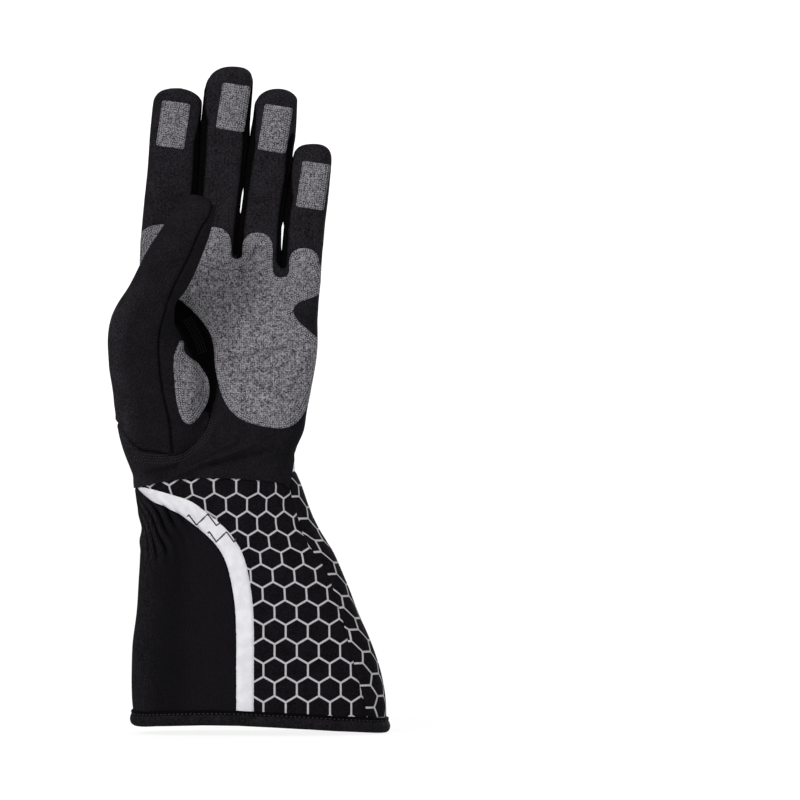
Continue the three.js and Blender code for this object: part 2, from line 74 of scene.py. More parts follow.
# Uneven cloth: height, size and seed of its smooth random waves
HAND_WAVES = (0.25, 17, 3)
CUFF_WAVES = (0.3, 22, 5)
HEM_WAVES = (0.25, 24, 2)
GATHER_WAVES = (0.9, 11, 11)
GATHER_BENDS = (3, 14, 8)

# Hand, as in the part's source
CURL_START = 200
CURL_SPAN = 130
CURL_DEPTH = 18
HOLLOW_DEPTH = 2.6
HOLLOW = {"x": -14, "z": 192, "half_width": 17, "half_height": 38}
HEM_TILT = -0.03

# z, left, right, front, back, power, slope of each section of the cuff and palm
BODY = np.array([
    [-12, -62.8, 63, 27, 27, 2.4, -0.03],
    [0, -62.8, 63, 27, 27, 2.4, -0.03],
    [14, -63.9, 63.2, 27.5, 27.5, 2.4, -0.02],
    [27, -64.3, 60.8, 27.3, 27.5, 2.4, -0.01],
    [42, -63.8, 56, 26.5, 27.3, 2.4, 0],
    [58, -61.6, 49.2, 25.3, 26.7, 2.35, 0],
    [74, -60.8, 42.8, 23.8, 25.6, 2.3, 0],
    [88, -60, 36.5, 22, 24, 2.3, 0],
    [99, -59.5, 29.5, 21, 23, 2.3, 0],
    [110, -61.2, 24.7, 21.5, 23, 2.3, 0],
    [121, -62.9, 21, 22.3, 22.7, 2.3, 0],
    [131, -64, 17.3, 22.4, 21.6, 2.3, 0],
    [138, -65, 17.2, 22, 20.8, 2.35, 0],
    [149, -65.3, 22.1, 20.6, 19.7, 2.4, 0],
    [158, -65, 23.7, 19.9, 19.1, 2.45, 0],
    [170, -64, 25.8, 18.8, 18.2, 2.5, 0],
    [186, -62.3, 28.6, 17.5, 17, 2.6, 0],
    [206, -61, 28.9, 16.6, 16.2, 2.6, -0.05],
    [221, -61, 29.2, 15.2, 15.2, 2.6, -0.12],
    [230, -60.6, 30.2, 13.4, 13.4, 2.5, -0.17],
    [236, -58, 28.6, 10.6, 10.6, 2.4, -0.2],
    [239, -51, 22.5, 5.5, 5.5, 2.2, -0.2],
])

# Of each finger: its tip's height, how far it is spread while it is made, the roundness of its
# left and right shoulder, and z, middle, half width and half depth of its sections
FINGERS = {
    "index": {
        "tip": 319.3,
        "shoulders": (2.7, 1.8),
        "spread": -10.5,
        "rows": np.array([
            [212, -47.6, 12.6, 11.6],
            [240, -47, 12.5, 11.4],
            [262, -44.9, 12.6, 11],
            [281, -43.2, 12.3, 10.6],
            [299, -42.2, 11.8, 10.2],
            [319.3, -40.6, 11.4, 9.2],
        ]),
    },
    "middle": {
        "tip": 329.9,
        "shoulders": (2.1, 2.7),
        "spread": -3.5,
        "rows": np.array([
            [212, -23.6, 11, 11.4],
            [240, -22.6, 10.9, 11.2],
            [263, -20.4, 11, 10.9],
            [281, -18.6, 11.3, 10.6],
            [302, -16.8, 11.9, 10.3],
            [330.2, -13.4, 10.7, 9.2],
        ]),
    },
    "ring": {
        "tip": 319,
        "shoulders": (2.1, 2.1),
        "spread": 3.5,
        "rows": np.array([
            [210, -1.4, 10.9, 11],
            [240, -0.6, 10.8, 10.8],
            [255, 0.7, 10.6, 10.5],
            [280, 4.2, 10.8, 10],
            [302, 7.7, 11.1, 9.7],
            [319.2, 9.4, 10.6, 9],
        ]),
    },
    "pinky": {
        "tip": 291.8,
        "shoulders": (3, 2.4),
        "spread": 10.5,
        "rows": np.array([
            [206, 19.5, 9.2, 9.8],
            [238, 21.2, 9.9, 9.6],
            [254, 22.4, 10.2, 9.2],
            [272, 25.1, 9.6, 8.8],
            [291.8, 27, 9.4, 8.2],
        ]),
    },
}
FINGER_SIDES = 72
FINGER_POWER = 2.45
TIP_ROUND = 8.5
TIP_STEPS = 12
TIP_FLAT = 0.995
SPREAD_START = 222  # the fingers are made spread, and closed once they are one cloth with the hand
SPREAD_SPAN = 18
THUMB_FRONT = -20  # what lies further in front of the curl than this is the thumb

# Heights and widths of the slits of light between fingers
SLITS = {
    "middle_ring": [(256.5, 0), (259, 0.7), (267, 0.8), (270.5, 0)],
    "ring_pinky": [(238, 0), (240, 0.4), (250.5, 1.2), (253.3, 0)],
}
# Where two fingers meet: the height up to which they touch, and the slit between them
MEETINGS = [
    {"left": "index", "right": "middle", "top": 314, "slit": None},
    {"left": "middle", "right": "ring", "top": 291, "slit": SLITS["middle_ring"]},
    {"left": "ring", "right": "pinky", "top": 279, "slit": SLITS["ring_pinky"]},
]
MEETING_BULGE = 1.7  # how much wider a finger is where it is pressed to its neighbour
MEETING_FADE = (-3, 12)  # the bulge ends between these heights over the meeting's top
MEETING_GAP = -0.1
MEETING_ROOM = 0.5  # least half width of what closes up between two fingers
MEETING_SHARE = 0.05  # cloth that was spread less than this isn't pressed

# x, y, z, half width, half depth of each section across the thumb's path
THUMB = np.array([
    [-43, -2.5, 121, 17.5, 14],
    [-45, -4.5, 134, 20.3, 17],
    [-47.8, -8, 149, 22.5, 19.5],
    [-49.2, -13.5, 167, 23.8, 20.5],
    [-54.8, -21, 185, 20.3, 19],
    [-57.2, -29, 201, 16.6, 16.5],
    [-52, -34.6, 213.8, 13.6, 15.1],
    [-41.8, -43.7, 234, 12.9, 13.4],
    [-36.3, -47.4, 244.2, 11.7, 12],
    [-31.7, -50.4, 253.5, 10.2, 10.6],
    [-28.3, -52.2, 260.3, 8.2, 8.6],
    [-27.2, -52.9, 263.3, 5.2, 5.4],
])
THUMB_STEPS = 110
THUMB_SIDES = 96
THUMB_SEAM_ALLOWANCE = 2.5

# Seams, seen from the front: x and z
THUMB_BASE_SEAM = [
    (-200, 155), (-76, 154.5), (-71.5, 153), (-68.5, 149.5), (-66, 145.5),
    (-61, 140.5), (-52, 138), (-36, 139), (-29.5, 146), (-24.5, 155), (-20, 175),
]
# Seam along the thumb, as the camera sees it
THUMB_SEAM = [
    (-23, 275), (-23.8, 261.5), (-25.8, 254.9), (-28.8, 250.7), (-30.8, 246.5), (-35, 236.5),
    (-38.3, 229.9), (-43.3, 219.9), (-47.1, 208.2), (-49.6, 199.9), (-50.5, 193), (-50, 179),
    (-48, 165), (-45.5, 154), (-44, 141), (-43.5, 134),
]
WRIST_SEAM_FRONT = [
    (-200, 119.5), (-63, 120), (-45, 123.8), (-25, 125.2), (0, 124), (12, 122.6),
    (15.3, 122.4), (16.2, 128), (17, 134), (18.5, 138), (20, 139.6), (26, 140), (200, 140),
]
WRIST_SEAM_BACK = [
    (-200, 120), (-63, 120.5), (-50, 124.5), (-20, 129), (5, 134), (19, 139), (200, 140),
]
SIDE_SEAM = [
    (15, 150), (15.3, 122.5), (17.2, 113), (20, 104), (23, 95), (27.5, 88), (33, 80),
    (37, 70), (40.5, 59), (46, 38), (51, 20), (54.5, 5), (55.5, -30),
]
THUMB_SIDE_SEAM = [(-52, 160), (-52, 120), (-50, 95), (-48, 50), (-46, -30)]
GUSSET_SHARES = {"left": 0.74, "right": 0.84}  # half widths on the finger left and right of it
GUSSET_END = 4  # from its end to the fingertip
GUSSET_TAPER = 24
GUSSET_ROUND = 0.6  # below 1 the end is blunt
# Height of the crotch that each gusset starts from
CROTCHES = {"gusset_index_middle": 240, "gusset_middle_ring": 236, "gusset_ring_pinky": 231}
GUSSET_BELOW_CROTCH = 11

# White bands: x, z, width
PALM_BAND = np.array([
    [-61, 120.3, 1.5], [-54.7, 117.2, 5], [-44.3, 113.4, 7], [-35.8, 109.7, 8.6],
    [-28.4, 104.3, 8.7], [-22.5, 99.5, 8.8], [-17.7, 94.6, 9], [-13.1, 87.4, 9.2],
    [-10.3, 79.3, 9.2], [-8.8, 71.7, 9], [-7.5, 62.7, 8.9], [-6.9, 51, 8.8],
    [-6.8, 30, 8.7], [-7.1, -30, 8.7],
])
BACK_BAND = np.array([
    [27, 141, 4], [19, 134, 6], [10, 127, 8], [2.5, 117, 8.7], [-1, 106, 8.8],
    [-3, 92, 8.8], [-4, 70, 8.7], [-3.6, 40, 8.7], [-3, -30, 8.7],
])
BAND_WRAP = 7

# Grip patches: lobes (x, z, half width, rise), and outlines of x and z
PALM_PATCH_LOBES = [
    (-48.7, 251.8, 12.3, 10), (-34.6, 231.5, 1.8, -3), (-23.6, 250.5, 9.2, 9),
    (-11.6, 234.4, 2.8, -3), (-1.2, 247.7, 7.6, 8), (10.5, 225.2, 4.1, -4.5),
    (22, 240, 7.4, 7.4),
]
PALM_PATCH_HEEL = [
    (32.5, 225), (33, 219), (29.2, 216.6), (23.5, 214.2), (18, 211.7), (16.5, 208.4), (18.5, 204.5),
    (24.2, 198.9), (28, 195.5), (31, 192.5), (31.5, 186), (29.5, 176), (26.8, 168), (23.8, 161.5),
    (20.8, 155.7), (16.7, 151.5), (11.7, 149.8), (5, 150.2), (-3.3, 151.9), (-11.7, 155.7),
    (-19.2, 166.5), (-21.2, 174), (-22.7, 182.3), (-23.2, 190.7), (-25.4, 198), (-28.3, 202.3),
    (-32.5, 207.3), (-37.9, 212.3), (-44, 217), (-60, 229),
]
THUMB_BASE_PATCH = [
    (-40, 193.5), (-38.3, 193.6), (-38.1, 191.5), (-38.3, 189.3), (-36.6, 186.5), (-31.8, 183),
    (-28.5, 179), (-26, 174.5), (-25.3, 170), (-26.2, 163.2), (-30, 156.5), (-33, 153),
    (-35.5, 151.8), (-38, 153), (-39.6, 155.7), (-41.7, 163.2), (-42.7, 172.5), (-43.2, 180.7),
    (-42.9, 186), (-42.1, 188.5), (-40.9, 191.6),
]
# x, z, width, height, lean in degrees
TIP_PATCHES = {
    "index": (-43.4, 301.6, 14.2, 23, 8.3),
    "middle": (-13.4, 310.3, 14.2, 23.2, 8.5),
    "ring": (7.6, 299.6, 14.2, 23.2, 9.3),
    "pinky": (26.5, 271.2, 14, 23.2, 8.6),
}
LOBE_POWER = 2.3
LOBE_STEPS = 12
TIP_CORNER = 1.2
TIP_CORNER_STEPS = 5
PATCH_EDGE = -1.2  # no patch goes further back than this
PATCH_TURN = 0.15  # and none lies where the cloth faces further back than this
PATCH_THICKNESS = 0.75
PATCH_THINNER = (0.05, 0.5)  # it has no thickness where it faces the front less than the first
PATCH_ROOT = -1
PATCH_ROUND = 0.9
PATCH_LEVELS = (0, 0.3, PATCH_ROUND)
PATCH_STITCH_ROWS = (1.1, 2.3, 3.5)
PATCH_STITCH_WIDTH = 0.5
PATCH_STITCH_DEPTH = 0.15
PATCH_ROW_STEP = 0.7
PATCH_ROW_SNAP = 0.1  # how much nearer to the outline a row may come than its distance
PATCH_ROW_LEAST = 3  # a piece of a row needs more points than this
PATCH_MARGIN = 2

# Folds in the palm: ends, as x and z, height and half width
FOLDS = [
    ((-34.8, 132.7), (-12.3, 143.4), 2.8, 1.9), ((-42, 126.5), (-4.2, 141.4), 2.1, 1.6),
    ((-28, 131), (2, 137.5), -2.2, 1.6), ((-56, 130), (-42, 133), 1.4, 1.8),
    ((-20.8, 183.2), (13.3, 189.8), -0.65, 1.1), ((-19, 185.6), (12, 192.2), 0.5, 1.4),
    ((-5, 174), (15, 163.2), -0.7, 1.1), ((-2, 175.4), (17, 165), 0.5, 1.4),
    ((-14, 176), (14, 181), -0.45, 1.1),
]
THUMB_RIDGE = 0.35
THUMB_RIDGE_PLACE = 2  # from the seam
THUMB_RIDGE_WIDTH = 1.5
# The deep fold between the ball of the thumb and the palm, as the camera sees it
VALLEY = [
    (-40, 211), (-35.5, 204), (-32.3, 197), (-29, 190), (-26.2, 182), (-24.4, 174), (-24.3, 166),
    (-26, 159),
]
VALLEY_WIDTH = 5.2
VALLEY_SHADE = [(155, 1), (166, 3), (174, 4.5), (190, 7.5), (204, 9), (212, 6)]  # height and half width
VALLEY_SHADE_FADE = (0.55, 1.2)  # in half widths
VALLEY_SHADE_DEPTH = (-31, -19)  # no shade further in front than the first, all of it from the second
VALLEY_DEPTH = 2.2

# Width of the painted shade along the edges of the panels on the palm, over which shares of it the cloth
# gets lighter, what is added to the width on the fingers, and from which heights
EDGE_SHADE = 0.8
EDGE_SHADE_FADE = (0.1, 1)
FINGER_EDGE_SHADE = 1.6
FINGER_EDGE_HEIGHT = (225, 245)
# Painted light that makes the black cloth paler: shares of painted sheen on the fingers and thumb and of
# painted highlight on the ridges of the gathers, and a painted rim light on the glove's thumb side, up
# to a height, by how far the cloth faces that side
FINGER_PAINTED_SHEEN = 0.43
THUMB_PAINTED_SHEEN = 0.09
PAINTED_SHEEN_HEIGHT = (140, 250)
GATHER_PAINTED_HIGHLIGHT = 0.35
SIDE_RIM_LIGHT = 0.85
SIDE_RIM_LIGHT_FACING = (0.3, 0.95)
SIDE_RIM_LIGHT_HEIGHT = (205, 235)

# Cuff
CUFF_SIDES = 400
CUFF_STEP = 0.8
CUFF_BOTTOM = 3
CUFF_TOP = 142
CUFF_TUCK = 1.5  # how far the cuff goes on under the hand's cloth
CUFF_SEAM_DEPTH = 0.55
BAND_LIFT = 0.35
BAND_EDGE = 0.8
GATHER_HEIGHT = 99
GATHER_LOW = 80
GATHER_HIGH = 119
GATHER_PITCH = 5.6
GATHER_SLANT = 0.46
GATHER_X = -55
GATHER_HALF_WIDTH = 18
GATHER_FRONT = 0.25
GATHER_BACK = 0.6
GATHER_SIDE = 3.8
GATHER_MEAN = 0.75
GATHER_LEVEL = 0.55
GATHER_SHADE = (-0.5, 0.8)  # depths of a gather between which it darkens
GATHER_SHADE_SIDE = (0.1, 0.6)  # only on the thumb's side, from the first share to the second
# height of a gather's ridge at which its painted highlight is full
GATHER_HIGHLIGHT_DEPTH = 1.2
PINCH = 1.3  # how far the elastic draws in the thumb's side of the cuff
PINCH_HEIGHT = 10
BINDING_SIDES = 420

# Threads: place along the thread, thickness and height of each of its sections, in radii
THREAD_SIDES = 5
THREAD_SECTIONS = [(0, 0.15, -1), (0.14, 0.8, -0.2), (0.5, 1, 0.35), (0.86, 0.8, -0.2), (1, 0.15, -1)]
# Pitch of the stitches, share of it that a thread takes up, and the thread's radius
PATCH_STITCHES = (1.15, 0.6, 0.24)
SEAM_STITCHES = (1.3, 0.6, 0.28)
ZIGZAG_STITCHES = (1.3, 1.35, 0.42)
# Zigzag rows on the palm band, as the camera sees them
ZIGZAGS = [
    [(-36.8, 105.4), (-35.6, 106.5), (-31.8, 101.5), (-26.2, 106.9), (-21.8, 101.2), (-20, 102.6)],
    [(-26.4, 97.2), (-25.3, 98.1), (-21.8, 93.1), (-16.8, 98.1), (-13.1, 93), (-12.1, 94.4)],
]
# Rows of stitches outside the seam round the thumb's base and in the deep fold, as the camera
# sees them
THUMB_BASE_STITCHES = [
    (-62, 138.3), (-58, 137), (-54.3, 136.5), (-46.5, 136.6), (-40.7, 137.5), (-36.5, 139.8),
    (-32.9, 143), (-29.3, 147), (-27.2, 151), (-25.7, 155.5),
]
VALLEY_STITCHES = [(-30.5, 187), (-32.5, 193), (-35, 198.5), (-38.5, 204)]
THUMB_BASE_STITCH_ROWS = (0, 1.3, 2.6, 3.9)
BINDING_WALL = 1.5
BINDING_OUTSIDE = 0.5  # it puckers only where it lies further out than this
BINDING_PUCKER = 0.12
BINDING_PUCKER_PITCH = 5.2
# Offset from the cuff's wall, and height
BINDING_PROFILE = np.array([
    [0.2, 7.6], [0.75, 7.5], [1.1, 7], [1.1, 6.5], [0.8, 6], [1.15, 5.4], [1.6, 4.7], [1.95, 3.7],
    [2, 2.6], [1.75, 1.5], [1.2, 0.6], [0.4, 0.05], [-0.7, -0.1],
])
HEM_ARCH_DEPTH = 18  # the front is arched in full from this far in front of the middle
# How far the front of the hem is arched up: x, height
HEM_ARCH = np.array([
    [-60, -0.6], [-52, 0.3], [-40, 1.1], [-28, 1.8], [-10, 2.3], [2, 2], [14, 1.6], [26, 1.4], [38, 0.8],
    [56, 0.3], [64, 0],
])
BINDING_STITCH_ROW = 4
BINDING_STITCH_STEP = 3
BINDING_THREAD = 0.3

# Hexagon print, in widths of a hexagon from flat to flat
HEX_WIDTH = 11.05
HEX_ROW = math.sqrt(3) / 2
HEX_LINE = 0.47  # half the width of its lines
HEX_LINE_EDGE = 0.12
SHOULDER_DEPTH = 6  # behind this the pattern goes on round the hand's side
# As the camera sees them: heights of its rows, its middle column at some heights, and the widths of
# the columns left and right of it
PRINT_ROWS = np.array([
    -9.7, 0, 9.6, 19.3, 28.9, 38.6, 48.3, 57.8, 67, 76.2, 85, 93, 102, 111.8, 120.5, 130,
])
PRINT_ROWS_BELOW = 4
PRINT_DROOP_X = -22  # left of this the rows hang down towards the thumb's side, at the wrist
PRINT_DROOP = 0.1
PRINT_DROOP_HEIGHT = (109, 120)
PRINT_MIDDLE = np.array([
    [57, 1.7], [67, 1.3], [76, 0.9], [85, 0.2], [93, -0.6], [102, -1.5], [111.8, -1.3], [120.5, -0.7],
])
PRINT_WIDTH = np.array([
    [60, 11.05, 11.05], [67, 11, 11], [76, 10.95, 10.95], [85, 10.8, 10.7], [93, 10.5, 10.2],
    [102, 10, 9.5], [111.8, 10.4, 8.95], [120.5, 11.2, 9.1],
])

# Panels and their looks
HAND_PANELS = {
    "palm_panel": "black",
    "back_panel": "printed",
    "thumb_outer_panel": "black",
    "thumb_inner_panel": "black",
    **dict.fromkeys(CROTCHES, "gusset"),
}
CUFF_PANELS = {
    "cuff_thumb_panel": "ribbed",
    "cuff_palm_panel": "printed",
    "cuff_back_outer_panel": "printed",
    "cuff_back_inner_panel": "printed",
    "palm_band": "band",
    "back_band": "band",
}
# Patches and the panels that they may lie on
FINGER_PANELS = ("palm_panel", *CROTCHES)
PATCHES = {
    "palm": FINGER_PANELS,
    "thumb_base": ("palm_panel", "thumb_outer_panel", "thumb_inner_panel"),
    **{name + "_tip": FINGER_PANELS for name in TIP_PATCHES},
}

# Colours
BLACK_DARK = (0.0052, 0.0047, 0.0056, 1)
BLACK_LIGHT = (0.0145, 0.0128, 0.0155, 1)
RIB_LIGHT = (0.0105, 0.009, 0.0113, 1)
# Painted light: the black cloth's paler tone where painted sheen, highlight or rim light falls
BLACK_PAINTED_LIGHT = (0.045, 0.0408, 0.048, 1)
# Painted shade: the black cloth where shade falls, on the gussets, wherever the shade value says, and on
# the tape's upper edge
PAINTED_SHADE_DARK = (0.0012, 0.0011, 0.0013, 1)
PAINTED_SHADE_LIGHT = (0.0034, 0.0031, 0.0036, 1)
PRINT_DARK = (0.0022, 0.0018, 0.0025, 1)
PRINT_LIGHT = (0.0095, 0.008, 0.0105, 1)
PRINT_COLOR = (0.48, 0.47, 0.49, 1)
THREAD_DARK = (0.07, 0.068, 0.072, 1)
THREAD_GREY = (0.034, 0.032, 0.036, 1)
THREAD_BLACK = (0.035, 0.033, 0.037, 1)
# Painted shade: a darker copy of the seam thread, for the stitches in the deep fold
THREAD_VALLEY_SHADE = (0.02, 0.018, 0.022, 1)
THREAD_LIGHT = (0.5, 0.49, 0.52, 1)
GREY_DARK = (0.016, 0.015, 0.018, 1)
GREY_LIGHT = (0.43, 0.415, 0.45, 1)
BAND_DARK = (0.66, 0.65, 0.68, 1)
BAND_LIGHT = (0.76, 0.75, 0.78, 1)
WHITE_COLOR = (1, 1, 1, 1)
FLOOR_COLOR = (0.16, 0.16, 0.16, 1)

# Grain of the cloths
RIB_PITCH = 1.3
RIB_DEPTH = 0.7
WALE_PITCH = 1.6
WALE_DEPTH = 0.25
KNIT_SIZE = 0.65
KNIT_FADE_SIZE = 9
KNIT_FADE = 0.2  # share of the larger grain in the tone
KNIT_CONTRAST = (0.34, 0.66)
GRIP_PITCH = 1.1
GRIP_CELL = 0.62
GRIP_SOFT_SIZE = 2.4
# Shares of its loops, cells and soft grain in the grip's tone
GRIP_LOOPS = 0.17
GRIP_FLECKS = 0.55
GRIP_SOFT = 0.4
GRIP_CONTRAST = (0.18, 1.02)
# Two distances from a stitch row, two depths of a crease, darkened by painted shade, or two values of a
# noise, and how much of the tone or print is left at each
GRIP_ROW = (0.1, 0.6, 0.6, 1)
GRIP_CREASE_SHADE = (0, 1, 1, 0.72)
PRINT_WEAR = (0.3, 0.6, 0.75, 1)
PRINT_WEAR_SIZE = 0.5
BAND_FADE_SIZE = 5
BAND_FADE = (0.3, 0.7)
FRAY_SIZE = 0.25
FRAY_DARK = 0.6
WEAVE_PITCH = 0.35
TAPE_PITCH = 0.45
TAPE_EDGE_SHADE = (5, 5.8)  # painted shade: the tape is dark over these heights, where it meets the cuff

# Studio and light
STUDIO_SIZE = 12  # radius of the pale dome round the floor, in metres
FLOOR_HEIGHT = -0.0025
FLOOR_GLOW = 0.88
WORLD_LIGHT = 0.4
# Of each sun: name, elevation, azimuth, strength and apparent size
SUNS = [
    ("key", 31, -34, 0.58, 22), ("fill", -15, 25, 0.27, 40), ("top", 85, 0, 0.15, 60),
    ("back", 20, 150, 0.55, 30),
]


# Numbers

def smooth(xs, ys, x):
    """Values of a table between its rows, on a smooth curve through them."""
    xs, ys = np.asarray(xs, float), np.asarray(ys, float)
    slope = np.gradient(ys, xs)
    i = np.clip(np.searchsorted(xs, x) - 1, 0, len(xs) - 2)
    step = xs[i + 1] - xs[i]
    t = np.clip((x - xs[i]) / step, 0, 1)
    rise = 3 * t**2 - 2 * t**3
    start = (t**3 - 2 * t**2 + t) * step * slope[i]
    end = (t**3 - t**2) * step * slope[i + 1]
    return (1 - rise) * ys[i] + rise * ys[i + 1] + start + end


def columns(table, z):
    """The columns of a table after its first, at heights z."""
    return [smooth(table[:, 0], table[:, k], z) for k in range(1, table.shape[1])]


def along_x(line, x):
    """Height of a seam at x."""
    xs, zs = np.array(sorted(line), float).T
    return smooth(xs, zs, x)


def along_z(line, z):
    """Place of a seam at a height."""
    zs, xs = np.array(sorted((z, x) for x, z in line), float).T
    return smooth(zs, xs, z)


def ease(value, start, end):
    t = np.clip((value - start) / (end - start), 0, 1)
    return t * t * (3 - 2 * t)


def bump(distance, spread):
    return np.exp(-((distance / spread) ** 2))


def unit(vectors):
    return vectors / np.linalg.norm(vectors, axis=-1, keepdims=True)


def path_lengths(path):
    """Length along a path from its start to each of its points."""
    steps = np.linalg.norm(np.diff(path, axis=0), axis=1)
    return np.concatenate([[0], np.cumsum(steps)])


def points_at(path, places):
    """Points of a path at some lengths along it."""
    length = path_lengths(path)
    return np.stack([np.interp(places, length, column) for column in path.T], axis=1)


def refine(rows, steps):
    """More sections or points, evenly along a smooth path through the given ones."""
    size = 3 if rows.shape[1] > 3 else 2
    length = path_lengths(rows[:, :size])
    places = np.linspace(0, length[-1], steps)
    return np.stack([smooth(length, column, places) for column in rows.T], axis=1)


def evenly(path, pitch):
    """Points along a line from end to end, about a pitch apart."""
    path = np.array(path, float)
    whole = path_lengths(path)[-1]
    return points_at(path, np.linspace(0, whole, max(1, round(whole / pitch)) + 1))


def nearest(points):
    """A search for the nearest of some points."""
    tree = KDTree(len(points))
    for i, point in enumerate(points):
        tree.insert(point, i)
    tree.balance()
    return tree


def curl(z):
    """How far in front of the wrist's middle the glove's middle lies at a height."""
    return -CURL_DEPTH * (np.maximum(0, z - CURL_START) / CURL_SPAN) ** 2


def rounded(value, power):
    return np.sign(value) * np.abs(value) ** (2 / power)


def side_rim_light(normal, z):
    """Painted rim light on the glove's thumb side: how much paler the cloth is there, by how far it
    faces that side and up to a height.
    """
    return SIDE_RIM_LIGHT * ease(-normal[:, 0], *SIDE_RIM_LIGHT_FACING) * (1 - ease(z, *SIDE_RIM_LIGHT_HEIGHT))


def wrinkles(points, height, size, seed):
    """Smooth random heights, one a point."""
    shift = Vector((seed, 0, 0))
    return height * np.array([noise.noise(Vector(p) / size + shift) for p in points])


# Cloth: a triangle mesh with named values at its points

class Cloth:
    def __init__(self, points, faces, values=None):
        self.points = np.asarray(points, float)
        self.faces = np.asarray(faces, int)
        self.values = dict(values or {})

    def normals(self):
        corners = self.points[self.faces]
        flat = np.cross(corners[:, 1] - corners[:, 0], corners[:, 2] - corners[:, 0])
        total = np.zeros_like(self.points)
        for k in range(3):
            np.add.at(total, self.faces[:, k], flat)
        return total / np.maximum(np.linalg.norm(total, axis=1, keepdims=True), 1e-12)

    def side(self, name):
        """Whether each face lies where a value is positive."""
        return self.values[name][self.faces].mean(axis=1) > 0

    def keep(self, chosen):
        """Only the chosen faces, and their points."""
        used, faces = np.unique(self.faces[chosen], return_inverse=True)
        values = {name: value[used] for name, value in self.values.items()}
        return Cloth(self.points[used], faces.reshape(-1, 3), values)

    def cut(self, name, level=0.0):
        """The same cloth, with edges along the line where a value reaches a level."""
        value = self.values[name] - level
        value = np.where(np.abs(value) < SNAP, 0, value)
        start, end = self.faces, np.roll(self.faces, -1, axis=1)
        crossed = value[start] * value[end] < 0
        pairs = np.sort(np.stack([start[crossed], end[crossed]], axis=1), axis=1)
        edges, which = np.unique(pairs, axis=0, return_inverse=True)
        a, b = edges.T
        t = value[a] / (value[a] - value[b])

        def between(array):
            share = t if array.ndim == 1 else t[:, None]
            return np.concatenate([array, array[a] * (1 - share) + array[b] * share])

        middle = np.full(self.faces.shape, -1)
        middle[crossed] = len(self.points) + which.ravel()
        count = crossed.sum(axis=1)
        whole = self.faces[count == 0]

        def turned(rows, first):
            order = (first[:, None] + np.arange(3)) % 3
            index = np.arange(len(rows))[:, None]
            return self.faces[rows][index, order], middle[rows][index, order]

        twice = np.flatnonzero(count == 2)
        (p, q, r), (m, _, n) = (x.T for x in turned(twice, np.argmin(crossed[twice], axis=1) - 1))
        once = np.flatnonzero(count == 1)
        (s, u, v), (_, o, _) = (x.T for x in turned(once, np.argmax(crossed[once], axis=1) - 1))
        parts = [(p, m, n), (m, q, r), (m, r, n), (s, u, o), (s, o, v)]
        faces = np.concatenate([whole, triangles(parts)])
        values = {key: between(array) for key, array in self.values.items()}
        return Cloth(between(self.points), faces, values)

    def halved(self):
        """The same cloth, with each triangle split into four."""
        edges, which = np.unique(edges_of(self.faces), axis=0, return_inverse=True)
        a, b = edges.T
        m, n, o = which.reshape(3, -1) + len(self.points)
        p, q, r = self.faces.T
        parts = [(p, m, o), (m, q, n), (o, n, r), (m, n, o)]
        faces = triangles(parts)
        points = np.concatenate([self.points, (self.points[a] + self.points[b]) / 2])
        values = {k: np.concatenate([v, (v[a] + v[b]) / 2]) for k, v in self.values.items()}
        return Cloth(points, faces, values)


def triangles(parts):
    """One table of faces, from parts that each have three arrays of corners."""
    return np.concatenate([np.stack([np.ravel(k) for k in part], axis=1) for part in parts])


def directed_edges(faces):
    return np.concatenate([faces[:, [0, 1]], faces[:, [1, 2]], faces[:, [2, 0]]])


def edges_of(faces):
    return np.sort(directed_edges(faces), axis=1)


def panel_numbers(panels, regions):
    """The number of each face's panel, which is the last one whose region it lies in."""
    names = list(panels)
    numbers = np.zeros(len(regions[names[0]]), int)
    for name, region in regions.items():
        numbers[region] = names.index(name)
    return numbers


def distance_to_seams(cloth, labels):
    """Distance from each point to the nearest edge between two panels, up to SEAM_REACH."""
    edges, which = np.unique(edges_of(cloth.faces), axis=0, return_inverse=True)
    labels = np.tile(labels, 3)
    low = np.full(len(edges), labels.max())
    high = np.full(len(edges), labels.min())
    np.minimum.at(low, which.ravel(), labels)
    np.maximum.at(high, which.ravel(), labels)
    a, b = cloth.points[edges[low < high]].transpose(1, 0, 2)
    samples = np.concatenate([a * (1 - t) + b * t for t in SEAM_SAMPLES])
    tree = nearest(samples)
    found = np.array([tree.find(p)[2] for p in cloth.points])
    return np.minimum(found, SEAM_REACH)


NORMAL = ("nx", "ny", "nz")


def shell(cloth, outer, inner):
    """A closed skin between two offsets along the cloth's own normals."""
    normal = np.stack([cloth.values[name] for name in NORMAL], axis=1)
    count = len(cloth.points)
    _, first, times = np.unique(edges_of(cloth.faces), axis=0, return_index=True, return_counts=True)
    a, b = directed_edges(cloth.faces)[first[times == 1]].T
    rim = triangles([(b, a, a + count), (b, a + count, b + count)])
    faces = np.concatenate([cloth.faces, cloth.faces[:, ::-1] + count, rim])
    points = np.concatenate([
        cloth.points + normal * np.broadcast_to(outer, count)[:, None],
        cloth.points + normal * np.broadcast_to(inner, count)[:, None],
    ])
    values = {name: np.concatenate([value, value]) for name, value in cloth.values.items()}
    return Cloth(points, faces, values)


def keep_normals(cloth):
    for name, column in zip(NORMAL, cloth.normals().T):
        cloth.values[name] = column
    return cloth


def add_object(name, data):
    made = bpy.data.objects.new(name, data)
    bpy.context.scene.collection.objects.link(made)
    return made


